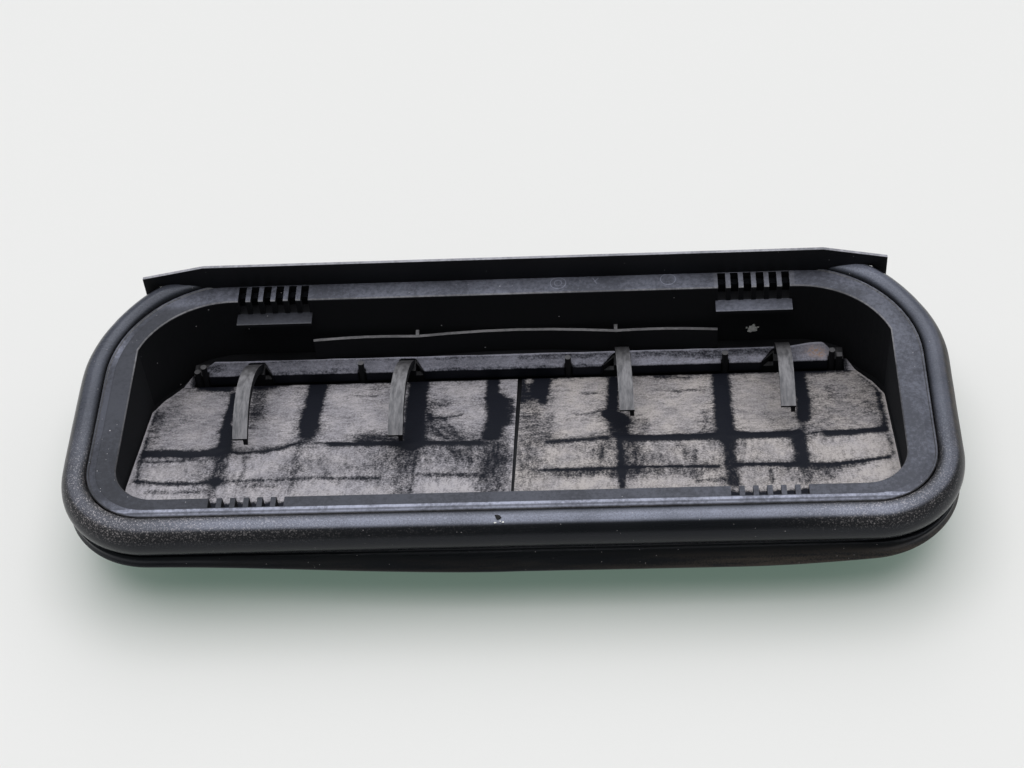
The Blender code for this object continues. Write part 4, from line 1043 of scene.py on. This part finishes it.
def make_seal(material):
    """Rubber ring round the flange, with soft waves in its bead and lip."""
    points, low, tint_and_painted_sheen = [], [], []
    ring = stations()
    for x, y, nx, ny in ring:
        # The lip stands off the bead at the near corners, and the bead is higher at the blade's ends
        gap = float(patches(x, y, LIP_GAPS))
        grow = 0.85 * math.exp(-((abs(x) - BLADE_END) / 7.5) ** 2) if y > 30 else 0.0
        sag = sag_share(x, y)
        at = Vector((x, y, 0.0))
        wave = 0.10 * noise.noise(at / 23.0) + 0.05 * noise.noise(at / 7.0 + Vector((9, 3, 1)))
        flop = 0.28 * noise.noise(at / 17.0 + Vector((4, 8, 2)))
        swell = float(patches(x, y, SWELLS))
        reach = 0.92 + 0.08 * smooth(-y, 30.0, 46.0)
        gentle = smooth(y, -42.0, -22.0)
        # The painted highlight along the crest is weaker towards both ends
        painted_highlight_share = 1.12 - 0.78 * smooth(-x, 80.0, 114.0) - 0.62 * smooth(x, 108.0, 124.0)
        for u, z, share in seal_section(gap, grow, reach, gentle):
            out = u + share * sag * SAG_OUT
            down = z - share * sag * SAG_DOWN
            if u > 0.35:
                body = min(1.0, (u - 0.35) / 2.0)
                out += (wave + swell) * body - 0.5 * share * abs(flop)
                down += 0.4 * wave * body + share * (0.10 - 0.5 * abs(flop))
            points.append((x + nx * out, y + ny * out, FLANGE_Z + down))
            low.append(share)
            # Painted highlight on the bead's upper side, fading out before the crease
            rise = smooth(u, 0.8 - 0.7 * gentle, 4.0 - 2.2 * gentle)
            tint_and_painted_sheen.append(painted_highlight_share * rise * (1 - smooth(u, 5.1, 6.3)) * (z > -1.5))
    size = len(points) // len(ring)
    faces = []
    for s in range(len(ring)):
        t = (s + 1) % len(ring)
        for i in range(size):
            j = (i + 1) % size
            faces.append((s * size + i, t * size + i, t * size + j, s * size + j))
    piece = make_piece("seal_ring", points, faces, material)

    places = np.array(points)
    x, y, z = places[:, 0], places[:, 1], places[:, 2]
    upper = smooth(z, 29.5, 33.5)
    store(piece, "powder", np.clip(patches(x, y, POWDER), 0.0, 1.0) * upper)
    under = 1 - smooth(z, 18.5, 23.5)
    rightward = 0.2 + 0.6 * smooth(x, 10.0, 100.0)
    side = 0.6 * smooth(x, 131.0, 135.5) * smooth(y, -42.0, -20.0)
    edge = np.array(low) * under * rightward * (y < 0) * smooth(x, -125.0, -60.0)
    edge = np.clip(edge, 0.0, 1.0)
    store(piece, "dirt", np.clip(edge + side, 0.0, 1.0))
    # The painted crest highlight, for the material
    store(piece, "tint_and_painted_sheen", tint_and_painted_sheen)
    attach(piece, "frame")
    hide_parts("seal")


# Crumbs

def make_crumbs(name, grains, material, seed):
    """Small torn lumps in one piece, from the centre and radii of each."""
    points, faces = [], []
    for index, (centre, radii) in enumerate(grains):
        bm = bmesh.new()
        bmesh.ops.create_icosphere(bm, subdivisions=3, radius=1.0)
        base = len(points)
        for v in bm.verts:
            ragged = 1 + 0.55 * noise.fractal(v.co * 1.4 + Vector((seed + index, 2, 5)), 1.0, 2.0, 4)
            points.append(tuple(c + r * ragged * part for c, r, part in zip(centre, radii, v.co)))
        faces += [tuple(base + v.index for v in face.verts) for face in bm.faces]
        bm.free()
    piece = make_piece(name, points, faces, material)
    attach(piece, "frame")


def make_all_crumbs():
    """A white crumb on the far wall, and dark and white ones on the seal's near crest."""
    white = crumb_material("white_crumb", (0.93, 0.92, 0.90))
    black = crumb_material("black_crumb", (0.006, 0.006, 0.008))
    wall_y = 39.45  # far wall's face
    make_crumbs("wall_crumb", [
        ((77.4, wall_y, 14.6), (1.25, 0.55, 1.3)),
        ((76.7, wall_y, 13.6), (0.7, 0.4, 0.6)),
        ((78.4, wall_y, 13.9), (0.55, 0.35, 0.5)),
        ((77.9, wall_y, 16.3), (0.35, 0.3, 0.4)),
        ((75.6, wall_y, 15.2), (0.3, 0.25, 0.3)),
        ((79.3, wall_y, 15.3), (0.28, 0.25, 0.25)),
    ], white, 1.0)
    make_crumbs("crest_crumb_dark", [
        ((-2.0, -52.6, 35.25), (0.75, 0.65, 0.25)),
        ((-2.6, -52.0, 35.3), (0.35, 0.3, 0.2)),
    ], black, 3.0)
    make_crumbs("crest_crumbs_pale", [
        ((-2.9, -54.3, 34.95), (0.35, 0.2, 0.15)),
        ((-0.6, -54.2, 35.0), (0.3, 0.25, 0.15)),
        ((-1.4, -53.9, 35.05), (0.18, 0.15, 0.12)),
    ], white, 6.0)


# Studio

def make_floor():
    """Plain floor just under the foot of the housing's walls."""
    mesh = bpy.data.meshes.new("floor")
    size = 3.0
    corners = [(-size, -size, 0), (size, -size, 0), (size, size, 0), (-size, size, 0)]
    mesh.from_pydata(corners, [], [(0, 1, 2, 3)])
    floor = link_object("floor", mesh)
    floor.location = (0.0, 0.0, -0.0002)
    mesh.materials.append(floor_material())


def make_sun(name, tilt, turn, strength, angle, colour):
    """Broad light from overhead, tilted towards the far side by tilt degrees and turned about Z."""
    data = bpy.data.lights.new(name, "SUN")
    data.energy = strength
    data.angle = math.radians(angle)
    data.color = colour
    sun = link_object(name, data)
    sun.rotation_euler = (-math.radians(tilt), 0.0, math.radians(turn))


def make_lights():
    """Soft light from overhead, with weaker fills from the far side and both ends."""
    white, cool = (1.0, 1.0, 1.0), (0.95, 0.97, 1.0)
    make_sun("overhead", 6.0, 0.0, 2.25, 66.0, white)
    make_sun("far_fill", 45.0, 0.0, 0.75, 44.0, cool)
    make_sun("left_fill", 46.0, 64.0, 0.44, 46.0, cool)
    make_sun("right_fill", 46.0, -64.0, 0.44, 46.0, cool)
    world = bpy.data.worlds.new("studio")
    world.use_nodes = True
    background = world.node_tree.nodes["Background"]
    background.inputs["Color"].default_value = (0.9, 1.0, 0.95, 1.0)
    background.inputs["Strength"].default_value = 0.15
    bpy.context.scene.world = world


def make_camera():
    """Camera from the photo's viewing angle, in metres and degrees."""
    place = (0.0398, -0.4319, 0.517)
    down, turn, roll = (math.radians(v) for v in (48.04, 5.14, -5.37))
    data = bpy.data.cameras.new("camera")
    data.sensor_fit = "HORIZONTAL"
    data.sensor_width = 36.0
    data.lens = 73.83
    data.clip_start = 0.01
    data.clip_end = 10.0
    camera = link_object("camera", data)
    spin = Matrix.Rotation(turn, 3, "Z")
    forward = spin @ Vector((0.0, math.cos(down), -math.sin(down)))
    up = spin @ Vector((0.0, math.sin(down), math.cos(down)))
    right = spin @ Vector((1.0, 0.0, 0.0))
    rolled_right = math.cos(roll) * right + math.sin(roll) * up
    rolled_up = -math.sin(roll) * right + math.cos(roll) * up
    axes = Matrix((rolled_right, rolled_up, -forward)).transposed()
    camera.matrix_world = Matrix.Translation(place) @ axes.to_4x4()
    bpy.context.scene.camera = camera


make_floor()
make_lights()
make_camera()

nodes["housing"].material_slots[0].material = plastic_material()
membrane = membrane_material()
make_seal(seal_material())
make_strip(membrane)
make_corner_tabs(membrane)
left_wear = (LEFT_STROKES, LEFT_LIGHT, LEFT_THIN, LEFT_CREASE_HIGHLIGHTS)
right_wear = (RIGHT_STROKES, RIGHT_LIGHT, RIGHT_THIN, RIGHT_CREASE_HIGHLIGHTS)
make_flap("left_flap", -1, "left_leaf", left_wear, membrane, 1.0)
make_flap("right_flap", 1, "right_leaf", right_wear, membrane, 2.0)
make_all_crumbs()

bpy.context.scene.view_settings.view_transform = "Standard"
